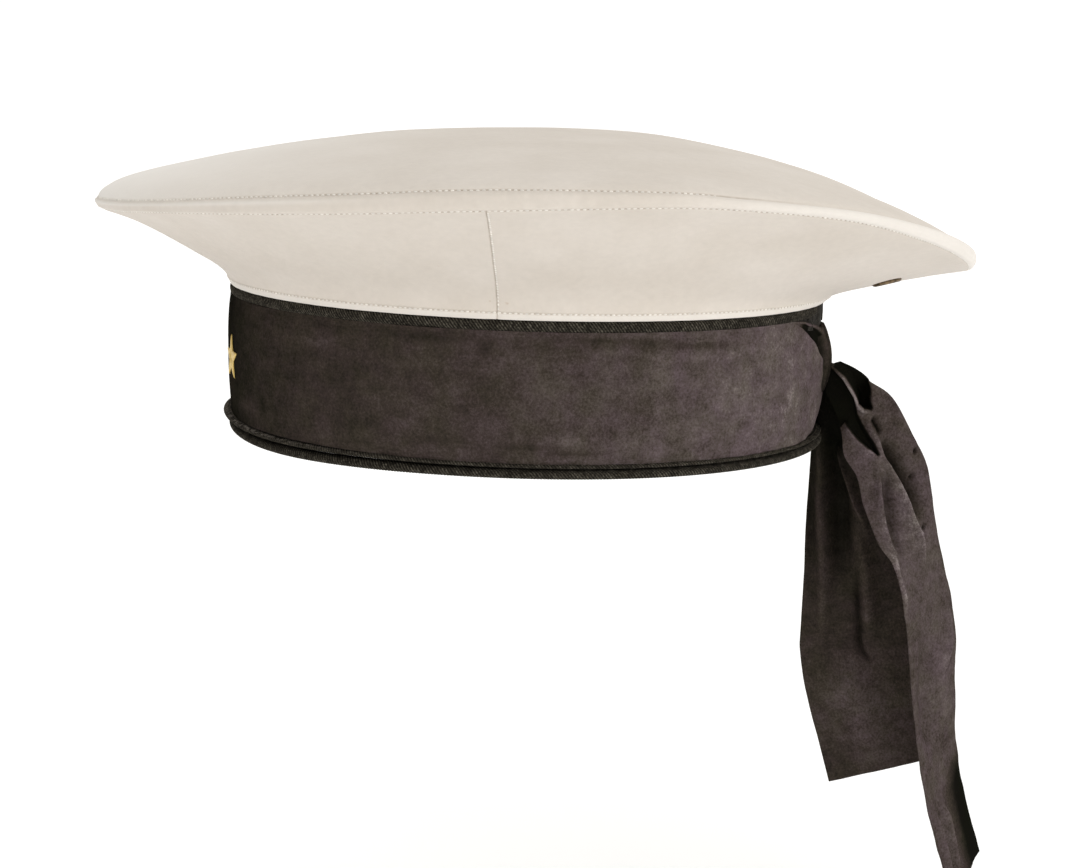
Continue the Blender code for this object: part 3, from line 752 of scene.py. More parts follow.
def grey(value):
    """A grey colour."""
    return (value, value, value)


def blend_colours(tree, kind, amount, first, second):
    """Blend two colours."""
    made = add_node(tree, "Mix", {"data_type": "RGBA", "blend_type": kind})
    for place, value in ((0, amount), (6, first), (7, second)):
        feed(tree, made.inputs[place], value)
    return made.outputs[2]


def weave_place(tree):
    """The weave coordinates, together and apart."""
    place = add_node(tree, "UVMap", {"uv_map": "weave"}).outputs["UV"]
    parts = add_node(tree, "SeparateXYZ", Vector=place).outputs
    return place, parts["X"], parts["Y"]


def weave_height(tree, pitch, twill=0.0):
    """The height of crossing threads over the weave coordinates. twill slants their crossings."""
    _, across, along = weave_place(tree)
    across = math_value(tree, "MULTIPLY", across, TURN / pitch)
    along = math_value(tree, "MULTIPLY", along, TURN / pitch)
    slanted = math_value(tree, "MULTIPLY_ADD", across, twill, along)
    return math_value(tree, "MULTIPLY", math_value(tree, "SINE", across), math_value(tree, "SINE", slanted))


def stain_at(tree, point, size):
    """A small stain's strength, 1 at a point and ragged at its edge."""
    place = tree.nodes["Place"].outputs["Object"]
    away = add_node(tree, "VectorMath", {"operation": "DISTANCE"}, (place, point)).outputs["Value"]
    ragged = math_value(tree, "MULTIPLY_ADD", noise_value(tree, 900.0, 2.0), size * 1.6, away)
    return add_node(tree, "MapRange", {"interpolation_type": "SMOOTHSTEP"}, Value=ragged,
                    From_Min=size * 1.7, From_Max=size * 0.6).outputs["Result"]


def cotton_material(name, stains):
    """Off-white cotton drill with soft blotches and a fine twill: tan above shade 0 for real wear and
    painted shade, paler below 0 as painted light.
    """
    material, tree = start_material(name, 0.88, sheen=0.10, specular=0.2)
    blotch = ramp(tree, noise_value(tree, 28.0), *COTTON_TONES)
    fine = ramp(tree, noise_value(tree, 420.0, 4.0), (0.3, grey(0.95)), (0.7, grey(1.0)))
    colour = blend_colours(tree, "MULTIPLY", 1.0, blotch, fine)
    shade = shade_value(tree)
    # Below shade 0 the cotton is mixed towards a pale colour as painted light; above it towards tan, for
    # real wear and painted shade
    painted_light = math_value(tree, "MULTIPLY", shade, -1.0)
    colour = blend_colours(tree, "MIX", painted_light, colour, PAINTED_LIGHT_COTTON)
    patchy = math_value(tree, "MULTIPLY_ADD", noise_value(tree, 350.0, 2.0), 1.4, -0.05)
    colour = blend_colours(tree, "MIX", math_value(tree, "MULTIPLY", shade, patchy), colour, WEAR_AND_SHADE_COTTON)
    for point, size, strength in stains:
        amount = math_value(tree, "MULTIPLY", stain_at(tree, point, size), strength)
        colour = blend_colours(tree, "MIX", amount, colour, STAIN)
    return finish_material(material, colour, (noise_value(tree, 60.0), 0.10, 0.004),
                           (weave_height(tree, 0.55 * MM, 0.5), 0.12, 0.0002))


def ribbon_material(name):
    """Worn charcoal taffeta: its tone follows the shade held at each point, which carries fading and also
    painted shade and painted highlights, with clouds and a pale speckle.
    """
    material, tree = start_material(name, 0.75, specular=0.0)
    shade = shade_value(tree)
    longwise = add_node(tree, "VectorMath", {"operation": "MULTIPLY"},
                        (weave_place(tree)[0], (110.0, 420.0, 1.0))).outputs["Vector"]
    clouds = math_value(tree, "ADD", swing(tree, 0.85, 75.0, 4.0, 0.6), swing(tree, 0.70, 280.0, 3.0, 0.6))
    grains = math_value(tree, "ADD", swing(tree, 1.50, 1200.0, 3.0, 0.8),
                        swing(tree, 0.50, 1.0, 3.0, 0.6, longwise))
    strength = math_value(tree, "MULTIPLY_ADD", shade, 0.80, 0.14)
    tone = math_value(tree, "MULTIPLY_ADD", math_value(tree, "ADD", clouds, grains), strength, shade)
    colour = ramp(tree, tone, *RIBBON_TONES)
    hue = ramp(tree, noise_value(tree, 95.0), *RIBBON_HUES)
    colour = blend_colours(tree, "MULTIPLY", 1.0, colour, hue)
    return finish_material(material, colour, (noise_value(tree, 170.0, 4.0), 0.30, 0.002),
                           (weave_height(tree, 0.42 * MM), 0.18, 0.00012))


def braid_material(name):
    """Black ribbed braid. Its weave coordinates count ribs along it and cords across it."""
    material, tree = start_material(name, 0.85, specular=0.04)
    _, ribs, cords = weave_place(tree)
    ribs = math_value(tree, "MULTIPLY", ribs, TURN)
    twist = math_value(tree, "MULTIPLY_ADD", cords, 2 * TURN, math_value(tree, "MULTIPLY", ribs, 2.0))
    grain = math_value(tree, "ADD", noise_value(tree, 1500.0, 3.0, 0.75), swing(tree, 0.5, 450.0))
    tone = math_value(tree, "MULTIPLY_ADD", math_value(tree, "COSINE", ribs), 0.15, grain)
    tone = math_value(tree, "MULTIPLY_ADD", math_value(tree, "SINE", twist), 0.12, tone)
    colour = ramp(tree, tone, *BRAID_TONES)
    speckled = math_value(tree, "MULTIPLY_ADD", noise_value(tree, 700.0, 2.0), 3.0, -1.25)
    patchy = math_value(tree, "MULTIPLY", shade_value(tree), speckled)
    colour = blend_colours(tree, "MIX", patchy, colour, WORN_BRAID)
    return finish_material(material, colour, (tone, 0.35, 0.0004))


def felt_material(name):
    """Black wool cloth over the stiff band."""
    material, tree = start_material(name, 0.95, specular=0.05)
    fibre = noise_value(tree, 1200.0, 4.0, 0.7)
    colour = ramp(tree, fibre, *FELT_TONES)
    return finish_material(material, colour, (fibre, 0.4, 0.0005))


def thread_material(name, colour, roughness, metallic=0.0):
    """Thread: one colour that varies a little along it."""
    material, tree = start_material(name, roughness, metallic=metallic)
    darker = tuple(0.78 * part for part in colour)
    tone = ramp(tree, noise_value(tree, 500.0, 2.0), (0.35, darker), (0.65, colour))
    return finish_material(material, tone, (noise_value(tree, 2500.0, 2.0), 0.25, 0.0002))


def brass_material(name):
    """Dark aged brass."""
    material, tree = start_material(name, 0.42, metallic=0.8, specular=0.5)
    age = noise_value(tree, 700.0, 4.0)
    tone = ramp(tree, age, *BRASS_TONES)
    return finish_material(material, tone, (age, 0.2, 0.0003))


# White top


def seam_dip(distance):
    """How far cloth dips at a seam, by its distance from it."""
    return -SEAM_DEPTH * np.exp(-distance / SEAM_WIDTH)


def build_top_cloth(material):
    """The domed top cloth, dipping into the rim's seam."""
    angles = around(TOP_COLUMNS)
    shares = np.sin(np.linspace(0.0, QUARTER, TOP_ROWS))[:-4]
    shares = np.concatenate((shares, np.linspace(0.9965, 1.0, EDGE_ROWS)))
    grid = dome_point(angles[None, :], shares[:, None])
    along = lengths_along(grid)
    from_rim = along[-1] - along
    normals = face_normals(grid, wrap=True)
    normals[0] = (0.0, 0.0, 1.0)
    normals *= np.sign(normals[..., 2:3] + 1e-9)
    soft = waves_at(grid, TOP_WAVES) * ease(along / (30 * MM))
    pucker = waves_at(grid, TOP_PUCKER) * np.exp(-from_rim / (5 * MM))
    rows = spread(from_rim, SEAM_TO_STITCHES, 0.25 * MM)
    padded = rearward(angles)
    seen = (1.0 - padded) * (1.0 - 0.8 * hump(angles, *PLAIN_FRONT))
    lift = soft * ease(from_rim / (12 * MM)) + pucker + seam_dip(from_rim) * (1.0 - 0.75 * padded)
    lift = lift - 0.15 * MM * rows * seen
    # Painted light: the top's front is painted paler, towards the rim, where more light falls on it
    painted_light = 0.95 * hump(angles, *PAINTED_LIT_FRONT) * ease(along / (150 * MM))
    top = grid_object("top_cloth", grid + normals * lift[..., None], wrap=True, pole=True,
                      inside=(0, 0, 0), shade=rows * seen - painted_light)
    place = np.array([v.co for v in top.data.vertices])
    add_weave(top.data, place[:, 0], place[:, 1])
    dress(thicken(top, CROWN_CLOTH), material, "white_cotton", "top_panel")
    return top


def side_ups(angles):
    """Shares up the side cloth, in rows that lie close together at its hem and at the rim."""
    from_hem = np.array(HEM_ROWS) * MM
    from_rim = np.array(RIM_ROWS_BELOW) * MM
    ups = np.linspace(0.0, 1.0, 300)
    climb = lengths_along(side_point(angles[None, :], ups[:, None]))
    columns = []
    for column in climb.T:
        middle = np.linspace(from_hem[-1], column[-1] - from_rim[0], SIDE_ROWS)[1:-1]
        columns.append(np.interp(np.concatenate((from_hem, middle, column[-1] - from_rim)), column, ups))
    return np.stack(columns, 1)


def build_side_cloth(material):
    """The four flared quarters, dipping into the seams between them, each with a turned-up hem."""
    made = []
    for name, start in (("rear_left", 0.0), ("rear_right", QUARTER),
                        ("front_right", 2 * QUARTER), ("front_left", 3 * QUARTER)):
        angles = start + QUARTER * gathered_steps(SIDE_COLUMNS, 0.93)
        grid = side_point(angles[None, :], side_ups(angles))
        up = lengths_along(grid)
        across = np.swapaxes(lengths_along(np.swapaxes(grid, 0, 1)), 0, 1)
        from_seam = np.minimum(across, across[:, -1:] - across)
        from_rim = up[-1] - up
        normals = face_normals(grid)
        outward = grid * (1.0, 1.0, 0.0)
        normals *= np.sign((normals * outward).sum(-1, keepdims=True))
        hem = HEM_STEP * (1.0 - ease((up - HEM_WIDTH) / (0.6 * MM)))
        rows = spread(up, HEM_WIDTH, 0.25 * MM) + spread(from_rim, SEAM_TO_STITCHES, 0.25 * MM)
        soft = waves_at(grid, SIDE_WAVES) * ease(up / (14 * MM)) * ease(from_rim / (14 * MM))
        edge = np.exp(-np.minimum(from_seam, from_rim) / (4 * MM))
        edge = edge + np.exp(-np.abs(up - HEM_WIDTH) / (3 * MM))
        pucker = waves_at(grid, SIDE_PUCKER) * edge
        lift = hem + soft + pucker - 0.15 * MM * rows + 0.45 * seam_dip(from_seam) + seam_dip(from_rim)
        worn = rows + 0.65 * spread(from_seam, 0.0, 0.27 * MM) * ease(from_rim / MM)
        # Painted highlight: the turned-up hem is painted paler where its curve faces the light; the stitch
        # rows and seams above are real wear
        worn = worn - 0.4 * (1.0 - ease((up - HEM_WIDTH) / (0.3 * MM)))
        piece = grid_object("side_cloth_" + name, grid + normals * lift[..., None],
                            inside=(0, 0, BAND_HEIGHT),
                            cloth=(QUARTER * CROWN_LENGTH / 2, up[-1].mean()), shade=worn)
        dress(thicken(piece, CROWN_CLOTH), material, "white_cotton", "side_panel_" + name)
        made.append(piece)
    return made


def build_rim_roll(material):
    """The strip between the side cloth and the top cloth: a ridge in front, a padded roll behind."""
    angles = around(ROLL_COLUMNS)
    degrees = np.degrees(np.arcsin(np.sin(angles)))
    rear = ease((degrees - 12.0) / 40.0)
    front = ease((-degrees - 15.0) / 30.0)
    low, high = side_point(angles, 1.0), dome_point(angles, 1.0)
    outward = unit(np.stack((CROWN_LENGTH * np.cos(angles), CROWN_WIDTH * np.sin(angles), 0 * angles), -1))
    ups = np.linspace(0.0, 1.0, ROLL_ROWS)
    ridge, soft, roll = read_table(STRIP_ROWS, ups, level_ends=False)
    out = (soft[:, None] * (1 - rear - front) + roll[:, None] * rear + ridge[:, None] * front) * RIM_ROLL
    grid = low + (high - low) * ups[:, None, None] + outward * out[..., None]
    pucker = waves_at(grid, ROLL_PUCKER) + waves_at(grid, ROLL_WAVES)
    grid = grid + outward * (pucker * np.sin(math.pi * ups)[:, None])[..., None]
    back = np.stack([grid[-1] - outward * 1.2 * MM, grid[0] - outward * 1.2 * MM])
    # Painted light: the padded roll at the rear and the strip at the front are painted paler where light
    # falls, and the front ridge's crest carries a painted highlight
    painted_light = 0.50 * ease((degrees - 15.0) / 30.0) + 0.25 * ease((-degrees - 45.0) / 30.0)
    crest = spread(np.append(ups, (0.0, 0.0)), 0.72, 0.16)[:, None]
    painted_light = painted_light + 0.5 * crest * ease((-degrees - 5.0) / 30.0)
    # Painted shade: the strip near the wearer's left side is painted a darker tan
    strip = grid_object("rim_roll", np.concatenate((grid, back)), wrap=True, closed_rows=True,
                        cloth=(math.pi * CROWN_LENGTH, 4 * RIM_STRIP_HEIGHT),
                        shade=0.12 * hump(angles, *PAINTED_SHADE_ROLL) - painted_light)
    dress(strip, material, "white_cotton", "rim_strip")


# Stitching


def stitch_row(name, places, normals, pitch, material, closed):
    """Stitches along a line of points: small round-ended threads half sunk in the cloth."""
    if closed:
        places = np.concatenate((places, places[:1]))
        normals = np.concatenate((normals, normals[:1]))
    along = lengths_along(places)
    count = int(round(along[-1] / pitch))
    middles = (np.arange(count) + 0.5) * along[-1] / count
    half = pitch * STITCH_LENGTH / 2
    turns = around(6)
    rings = ((-1.0, 0.35), (-0.6, 1.0), (0.6, 1.0), (1.0, 0.35))

    def read(values, at):
        return np.stack([np.interp(at, along, values[:, i]) for i in range(3)], -1)

    here, up = read(places, middles), read(normals, middles)
    way = unit(read(places, middles + half) - read(places, middles - half))
    side = np.cross(way, up)
    points = np.stack([here + way * reach * half
                       + (side * math.cos(turn) + up * math.sin(turn)) * STITCH_RADIUS * wide
                       for reach, wide in rings for turn in turns], 1)
    sides = len(turns)
    size = sides * len(rings)
    faces = [(i, i - i % sides + (i + 1) % sides, i - i % sides + (i + 1) % sides + sides, i + sides)
             for i in range(size - sides)]
    faces += [tuple(reversed(range(sides))), tuple(range(size - sides, size))]
    every = [tuple(size * k + i for i in face) for k in range(count) for face in faces]
    mesh = bpy.data.meshes.new(name)
    mesh.from_pydata(points.reshape(-1, 3).tolist(), [], every)
    mesh.shade_smooth()
    dress(add_object(name, mesh), material, "white_cotton")


def surface_line(surface, angles, share):
    """A line on a surface of angle and share, with the surface's outward normals along it."""
    turn, step = 0.01, 0.004
    here = surface(angles, share)
    across = surface(angles + turn, share) - surface(angles - turn, share)
    up = surface(angles, share + step) - surface(angles, share - step)
    normals = unit(np.cross(across, up))
    outward = here - (0.0, 0.0, BAND_HEIGHT)
    return here, normals * np.sign((normals * outward).sum(-1, keepdims=True))


def lay_on(things, places, normals, sink):
    """Move a line of points onto the faces of pieces, along its normals, and sink it a little."""
    reach = 4 * MM
    trees = [BVHTree.FromPolygons([v.co for v in thing.data.vertices],
                                  [tuple(face.vertices) for face in thing.data.polygons])
             for thing in things]
    moved = places.copy()
    for i, (place, normal) in enumerate(zip(places, normals)):
        hits = [tree.ray_cast(Vector(place + normal * reach), Vector(-normal), 2 * reach) for tree in trees]
        hits = [hit for hit in hits if hit[0] is not None]
        if hits:
            moved[i] = min(hits, key=lambda hit: hit[3])[0]
    return moved - normals * sink


def build_stitching(material, top, sides):
    """The rows of stitches on the white top: the hem, both sides of the rim strip and the seams."""
    angles = around(STITCH_LINE_POINTS)
    ups = np.linspace(0.0, 1.0, 400)
    climb = lengths_along(side_point(angles[None, :], ups[:, None]))
    dome = lengths_along(dome_point(angles[None, :], ups[:, None]))
    hem = np.array([np.interp(HEM_WIDTH, way, ups) for way in climb.T])
    below = np.array([np.interp(way[-1] - SEAM_TO_STITCHES, way, ups) for way in climb.T])
    above = np.array([np.interp(way[-1] - SEAM_TO_STITCHES, way, ups) for way in dome.T])
    sink = np.full((len(angles), 1), STITCH_SUNK)
    hidden = STITCH_HIDDEN * rearward(angles)[:, None]
    for name, surface, share, pitch, pieces, deeper in (
            ("hem_stitches", side_point, hem, HEM_PITCH, sides, 0.0),
            ("rim_stitches_lower", side_point, below, RIM_PITCH, sides, 0.0),
            ("rim_stitches_upper", dome_point, above, RIM_PITCH, [top], hidden)):
        places, normals = surface_line(surface, angles, share)
        stitch_row(name, lay_on(pieces, places, normals, sink + deeper), normals, pitch, material, True)
    for i, word in enumerate(("left", "rear", "right", "front")):
        ups = np.linspace(0.03, 0.98, 240)
        beside = QUARTER * i + SEAM_TO_ROW / (HEAD_LENGTH / 2) * (1.0 - 0.25 * ups)
        places, normals = surface_line(side_point, beside, ups)
        stitch_row("seam_stitches_" + word, lay_on(sides, places, normals, sink[0]), normals, SEAM_PITCH,
                   material, False)


# Band


def ribbed_ring(name, rows, moved=None, worn=0.0):
    """A ring round the band from a closed section of out and height, with slanting ribs.

    moved gives how much further out and how much lower the ring lies, by angle. worn is how faded
    its edge is at the front left.
    """
    section = np.array(rows)
    girth = math.pi * (HEAD_LENGTH + HEAD_WIDTH) / 2
    ribs = int(round(girth / RIB_PITCH))
    angles = QUARTER + around(ribs * COLUMNS_PER_RIB)
    away = unit(section - section.mean(0))
    walk = lengths_along(section) / RIB_PITCH
    count = np.linspace(0.0, ribs, len(angles), endpoint=False)
    phase = count[None, :] + RIB_SLANT * walk[:, None]
    wave = RIB_DEPTH * (0.5 + 0.5 * np.cos(TURN * phase)) - RIB_DEPTH
    further, lower = (0.0, 0.0) if moved is None else moved(angles)
    grid = band_point(angles[None, :], section[:, 0, None] + away[:, 0, None] * wave + further,
                      section[:, 1, None] + away[:, 1, None] * wave - lower)
    edge = spread(np.linspace(0.0, 1.0, len(section)), 0.75, 0.12)[:, None]
    ring = grid_object(name, grid, wrap=True, closed_rows=True, shade=worn * edge * hump(angles, *WORN_LIP))
    add_weave(ring.data, phase.ravel(), np.broadcast_to(walk[:, None], phase.shape).ravel())
    return ring


def rounded_section(inner, outer, low, high, points):
    """A closed section with a straight back and a rounded front."""
    turn = np.linspace(-QUARTER, QUARTER, points)
    out = inner + (outer - inner) * np.cos(turn) ** 0.6
    height = (low + high) / 2 + (high - low) / 2 * np.sin(turn)
    return np.stack((out, height), -1)


def braid_moved(angles):
    """The top braid's ends lie sunk under the join at the rear."""
    return -2.4 * MM * hump(angles, *SUNK_BRAID) ** 2, 0.0


def binding_moved(angles):
    """The lower binding hangs and draws in a little more at the front left."""
    return -0.7 * MM * hump(angles, *DRAWN_BINDING), 1.5 * MM * hump(angles, *HANGING_BINDING)


def lip_moved(angles):
    """The binding's lip flares at the front left."""
    lower = 1.0 * MM * hump(angles, *LOW_LIP) - 1.3 * MM * hump(angles, *HIGH_LIP)
    return LIP_FLARE * hump(angles, *FLARED_LIP), lower


def build_braids(material, felt):
    """The ribbed braid under the white top, its join, and the lipped binding at the lower edge."""
    top = ribbed_ring("top_braid", rounded_section(BAND_WALL, RIBBON_SEAT + TOP_BRAID_OUT,
                                                   BAND_TOP - TOP_BRAID_HEIGHT, BAND_TOP + 0.2 * MM, 13),
                      braid_moved)
    dress(top, material, "black_braid", "top_piping")
    low = ribbed_ring("lower_binding", rounded_section(0.6 * MM, BAND_WALL + BINDING_OUT, 0.0,
                                                       BINDING_HEIGHT, 15), binding_moved)
    dress(low, material, "black_braid", "bottom_piping")
    lip = ribbed_ring("binding_lip", rounded_section(0.2 * MM, RIBBON_SEAT + LIP_OUT,
                                                     BINDING_HEIGHT + 0.1 * MM,
                                                     BINDING_HEIGHT + 0.1 * MM + LIP_HEIGHT, 11),
                      lip_moved, 0.9)
    dress(lip, material, "black_braid")

    angles = np.linspace(JOIN_FROM, JOIN_TO, 161)[None, :]
    heights = np.linspace(BAND_TOP - JOIN_HEIGHT, BAND_TOP - 0.3 * MM, 24)[:, None]
    ridges = sum(hump(angles, degrees, 0.75) for degrees in JOIN_RIDGES)
    out = BAND_WALL + 0.5 * MM + 0.75 * MM * ridges + 0 * heights
    out = out + waves_at(band_point(angles, out, heights), JOIN_NAP)
    join = grid_object("band_join", band_point(angles, out, heights), inside=(0, 0, BAND_TOP))
    dress(thicken(join, 1.2 * MM), felt, "black_cloth")


# Ribbon


def ribbon_shade(angles, rise):
    """How pale the ribbon is round the band, by angle and by share of its width: fading and smudges, with
    painted shade at the front left and a painted crease highlight.
    """
    degrees = np.degrees(np.angle(np.exp(1j * angles)))
    shade = read_table(RIBBON_SHADES, degrees)[0] + 0 * rise
    for smudge in RIBBON_SMUDGES:
        shade = shade + smudge.shade * (spread(degrees[None, :], smudge.degrees, smudge.wide)
                                        * spread(rise, smudge.height, smudge.tall))
    return shade


def build_ribbon(material):
    """The ribbon round the band, drawn together towards the knot, with its upper edge folded."""
    even = around(RIBBON_COLUMNS)
    angles = QUARTER + even - 0.80 * np.sin(even)
    along = lengths_along(band_point(np.append(angles, angles[0] + TURN), RIBBON_SEAT, 0.0))
    from_knot = np.minimum(along[:-1], along[-1] - along[:-1])
    away = np.clip(from_knot / GATHER_REACH, 0.0, 1.0)
    low, edge, gap, high, fold = read_table(GATHER_ROWS, away)
    drawn = 1.0 - ease(away)

    on_panel = gathered_steps(PANEL_ROWS, 0.75)[:, None]
    crown = np.sin(math.pi * on_panel) ** 0.8
    to_edge = np.abs(2 * on_panel - 1)
    roll = GATHER_ROLL * drawn * (1 - to_edge ** 10) * (0.45 + 0.55 * to_edge ** 2)
    pleat = np.sin(2 * TURN * on_panel ** 1.3) * 0.25 * MM * drawn ** 3 * np.sin(math.pi * on_panel)
    panel_out = RIBBON_SEAT + RIBBON_BULGE * crown * (1 - 0.6 * drawn) + roll + pleat
    panel_height = low + (edge - low) * on_panel
    on_fold = np.linspace(0.0, 1.0, FOLD_ROWS)[:, None]
    valley = RIBBON_SEAT - VALLEY_DEPTH * ease(drawn * 4)
    fold_out = valley + FOLD_OUT * fold * np.sin(math.pi * on_fold * 0.94) ** 0.75
    fold_height = gap + (high - gap) * on_fold
    valley_out = np.broadcast_to(valley, (2, len(angles)))
    valley_height = np.stack((edge + 0.001, gap - 0.001))
    out = np.concatenate((panel_out, valley_out, fold_out))
    rise = np.concatenate((panel_height, valley_height, fold_height))
    grid = band_point(angles[None, :], out, RIBBON_BOTTOM + RIBBON_WIDTH * rise)

    normals = band_point(angles[None, :], 1.0, 0.0) - band_point(angles[None, :], 0.0, 0.0)
    rim = np.exp(-rise / 0.10) + np.exp(-(1 - rise) / 0.12)
    broad = waves_at(grid * (1.0, 1.0, 0.6), RIBBON_WAVES)
    fine = waves_at(grid * (1.0, 1.0, 0.45), RIBBON_PUCKER) * (1.0 + 1.375 * rim)
    grid = grid + normals * (broad * (1 - 0.5 * rim) + fine)[..., None]

    shade = ribbon_shade(angles, rise)
    panels = len(on_panel)
    # Painted shade: the gap and the fold behind it are painted dark towards the knot and black at the gap,
    # and the ribbon's rolled edges carry a painted highlight
    shade[panels:] -= 0.25 * drawn[None, :]
    sunk = ease(drawn * 6)[None, :]
    shade[panels:panels + 2] -= (shade[panels:panels + 2] + 0.3) * sunk
    shade[panels + 2:] -= (shade[panels + 2:] + 0.3) * sunk * (1.0 - ease(on_fold / 0.45))
    shade[:panels] += 0.20 * drawn * to_edge ** 6
    ribbon = grid_object("ribbon", grid, wrap=True, inside=(0, 0, RIBBON_WIDTH / 2),
                         cloth=(float(along[-1]), RIBBON_WIDTH), shade=shade)
    dress(thicken(ribbon, RIBBON_CLOTH), material, "charcoal_ribbon", "tally_ribbon")


def build_knot(material):
    """The band of ribbon drawn over the gathers, pleated along its length."""
    down = np.linspace(0.0, 1.0, KNOT_ROWS)[:, None]
    across = np.linspace(-1.0, 1.0, KNOT_COLUMNS)[None, :]
    waist = 1.0 - 0.22 * np.sin(math.pi * down)
    x = KNOT_SIDE + across * KNOT_WIDTH / 2 * waist + 1.2 * MM * np.sin(2.4 * down + 0.4)
    bulge = np.sin(math.pi * np.clip(down * 0.86 + 0.06, 0, 1)) ** 0.62 * (1 - np.abs(across) ** 3.0) ** 0.55
    pleats = 0.40 * MM * np.sin(3.5 * math.pi * across + 1.1 * np.sin(3.0 * down))
    pleats = pleats * np.sin(math.pi * down) ** 0.5
    out = -KNOT_SUNK + (KNOT_OUT + KNOT_SUNK) * bulge + pleats * bulge
    rear = HEAD_LENGTH / 2 * np.sqrt(1 - (x / (HEAD_WIDTH / 2)) ** 2) + RIBBON_SEAT
    z = KNOT_HEIGHT + KNOT_WRAP * (0.5 - down) - KNOT_SHIFT
    front = np.stack((x, rear + out, z + 0 * x), -1)
    back = front.copy()
    back[..., 1] = rear - KNOT_BACK
    # Painted shade: the knot is painted dark, darker at its lower end, with painted highlights along its
    # pleats
    shade = 0.12 + 0.10 * np.sin(3.5 * math.pi * across) + 0.10 * (1 - down)
    knot = grid_object("ribbon_knot_wrap", np.concatenate((front, back[:, ::-1]), 1), wrap=True,
                       inside=(KNOT_SIDE, REAR_FACE, KNOT_HEIGHT), cloth=(2 * KNOT_WIDTH, KNOT_WRAP),
                       shade=np.concatenate((shade, shade[:, ::-1]), 1))
    body = bmesh.new()
    body.from_mesh(knot.data)
    bmesh.ops.holes_fill(body, edges=[e for e in body.edges if e.is_boundary], sides=0)
    bmesh.ops.recalc_face_normals(body, faces=body.faces)
    body.to_mesh(knot.data)
    body.free()
    dress(knot, material, "charcoal_ribbon", "ribbon_knot")


def distance_to_line(u, v, line):
    """Distances to a line of points on the flat cloth, and how far along it the nearest lies."""
    spans = np.linalg.norm(np.diff(line, axis=0), axis=-1)
    starts = np.concatenate(((0.0,), np.cumsum(spans))) / spans.sum()
    best, share = np.full(u.shape, 1e9), np.zeros(u.shape)
    for i, span in enumerate(spans):
        way = (line[i + 1] - line[i]) / span
        walk = np.clip((u - line[i, 0]) * way[0] + (v - line[i, 1]) * way[1], 0.0, span)
        away = np.hypot(u - line[i, 0] - walk * way[0], v - line[i, 1] - walk * way[1])
        nearer = away < best
        best = np.where(nearer, away, best)
        share = np.where(nearer, starts[i] + (starts[i + 1] - starts[i]) * walk / span, share)
    return best, share


def inside_outline(u, v, line):
    """Whether points of the flat cloth lie inside a closed outline."""
    crossings = np.zeros(u.shape, int)
    for (u0, v0), (u1, v1) in zip(line, np.roll(line, -1, 0)):
        if v0 != v1:
            between = (v0 > v) != (v1 > v)
            crossings += between & (u < u0 + (u1 - u0) * (v - v0) / (v1 - v0))
    return crossings % 2 == 1


def cloth_forms(along, across, widths, length, creases, hollows, shade):
    """How far forms lift the cloth, in metres, and the shade they leave it with: painted highlights on
    crests, painted shade in valleys and hollows.
    """
    v = along * length
    u = (across - 0.5) * widths
    lift = np.zeros(u.shape)

    def flat(line):
        points = np.array(line)
        wide = np.interp(points[:, 0], along[:, 0], widths[:, 0])
        return np.stack(((points[:, 1] - 0.5) * wide, points[:, 0] * length), -1)

    for crease in creases:
        away, share = distance_to_line(u, v, flat(crease.line))
        fading = np.clip(np.sin(math.pi * np.clip(share, 0.02, 0.98)) * 1.6, 0.0, 1.0)
        form = np.exp(-(away / (crease.width * RIBBON_WIDTH)) ** crease.round) * fading
        lift = lift + CREASE_LIFT * crease.height * RIBBON_WIDTH * form
        shade = shade + CREASE_SHADE * crease.shade * form
    for hollow in hollows:
        line = flat(hollow.outline)
        away, _ = distance_to_line(u, v, np.concatenate((line, line[:1])))
        inside = inside_outline(u, v, line)
        lift = lift - hollow.depth * RIBBON_WIDTH * ease(away / (hollow.edge * RIBBON_WIDTH)) * inside
        # Painted shade: the cloth inside a hollow is painted dark
        dark = ease(away / (0.3 * hollow.edge * RIBBON_WIDTH)) * inside
        shade = shade + (hollow.shade - shade) * dark
    return lift, shade


def build_tail(name, rows, drop, creases, hollows, shades, material, node):
    """A hanging ribbon end with its creases, as a thin sheet of cloth."""
    along = np.linspace(0.0, 1.0, TAIL_ROWS) ** 1.15
    across = np.linspace(0.0, 1.0, TAIL_COLUMNS)
    edges = read_table(rows, along * rows[-1].step, level_ends=False)
    root = np.array((KNOT_SIDE, REAR_FACE, KNOT_HEIGHT))
    size = np.array((RIBBON_WIDTH, RIBBON_WIDTH, -drop))
    near = root + edges[[2, 0, 1]].T * size
    far = root + edges[[5, 3, 4]].T * size
    middle = (near + far) / 2
    length = float(lengths_along(middle)[-1])
    face = unit(np.cross(np.gradient(middle, axis=0), far - near))
    face *= np.sign(face @ np.array((1.0, -0.2, 0.15)))[:, None]
    widths = np.linalg.norm(far - near, axis=-1)[:, None]
    grid = near[:, None] + (far - near)[:, None] * across[None, :, None]
    along, across = np.broadcast_arrays(along[:, None], across[None, :])
    shade = read_table(shades, along)[0]
    lift, shade = cloth_forms(along, across, widths + 0 * across, length, creases, hollows, shade)
    soft = waves_at(grid, TAIL_WAVES) + waves_at(grid, TAIL_FOLDS)
    fine = waves_at(grid, TAIL_PUCKER)
    grid = grid + face[:, None] * (lift + soft * ease(along / 0.1) + fine)[..., None]
    tail = grid_object(name, grid, cloth=(RIBBON_WIDTH, length), shade=shade)
    dress(thicken(tail, RIBBON_CLOTH, 0.0), material, "charcoal_ribbon", node)


# Stars and eyelets


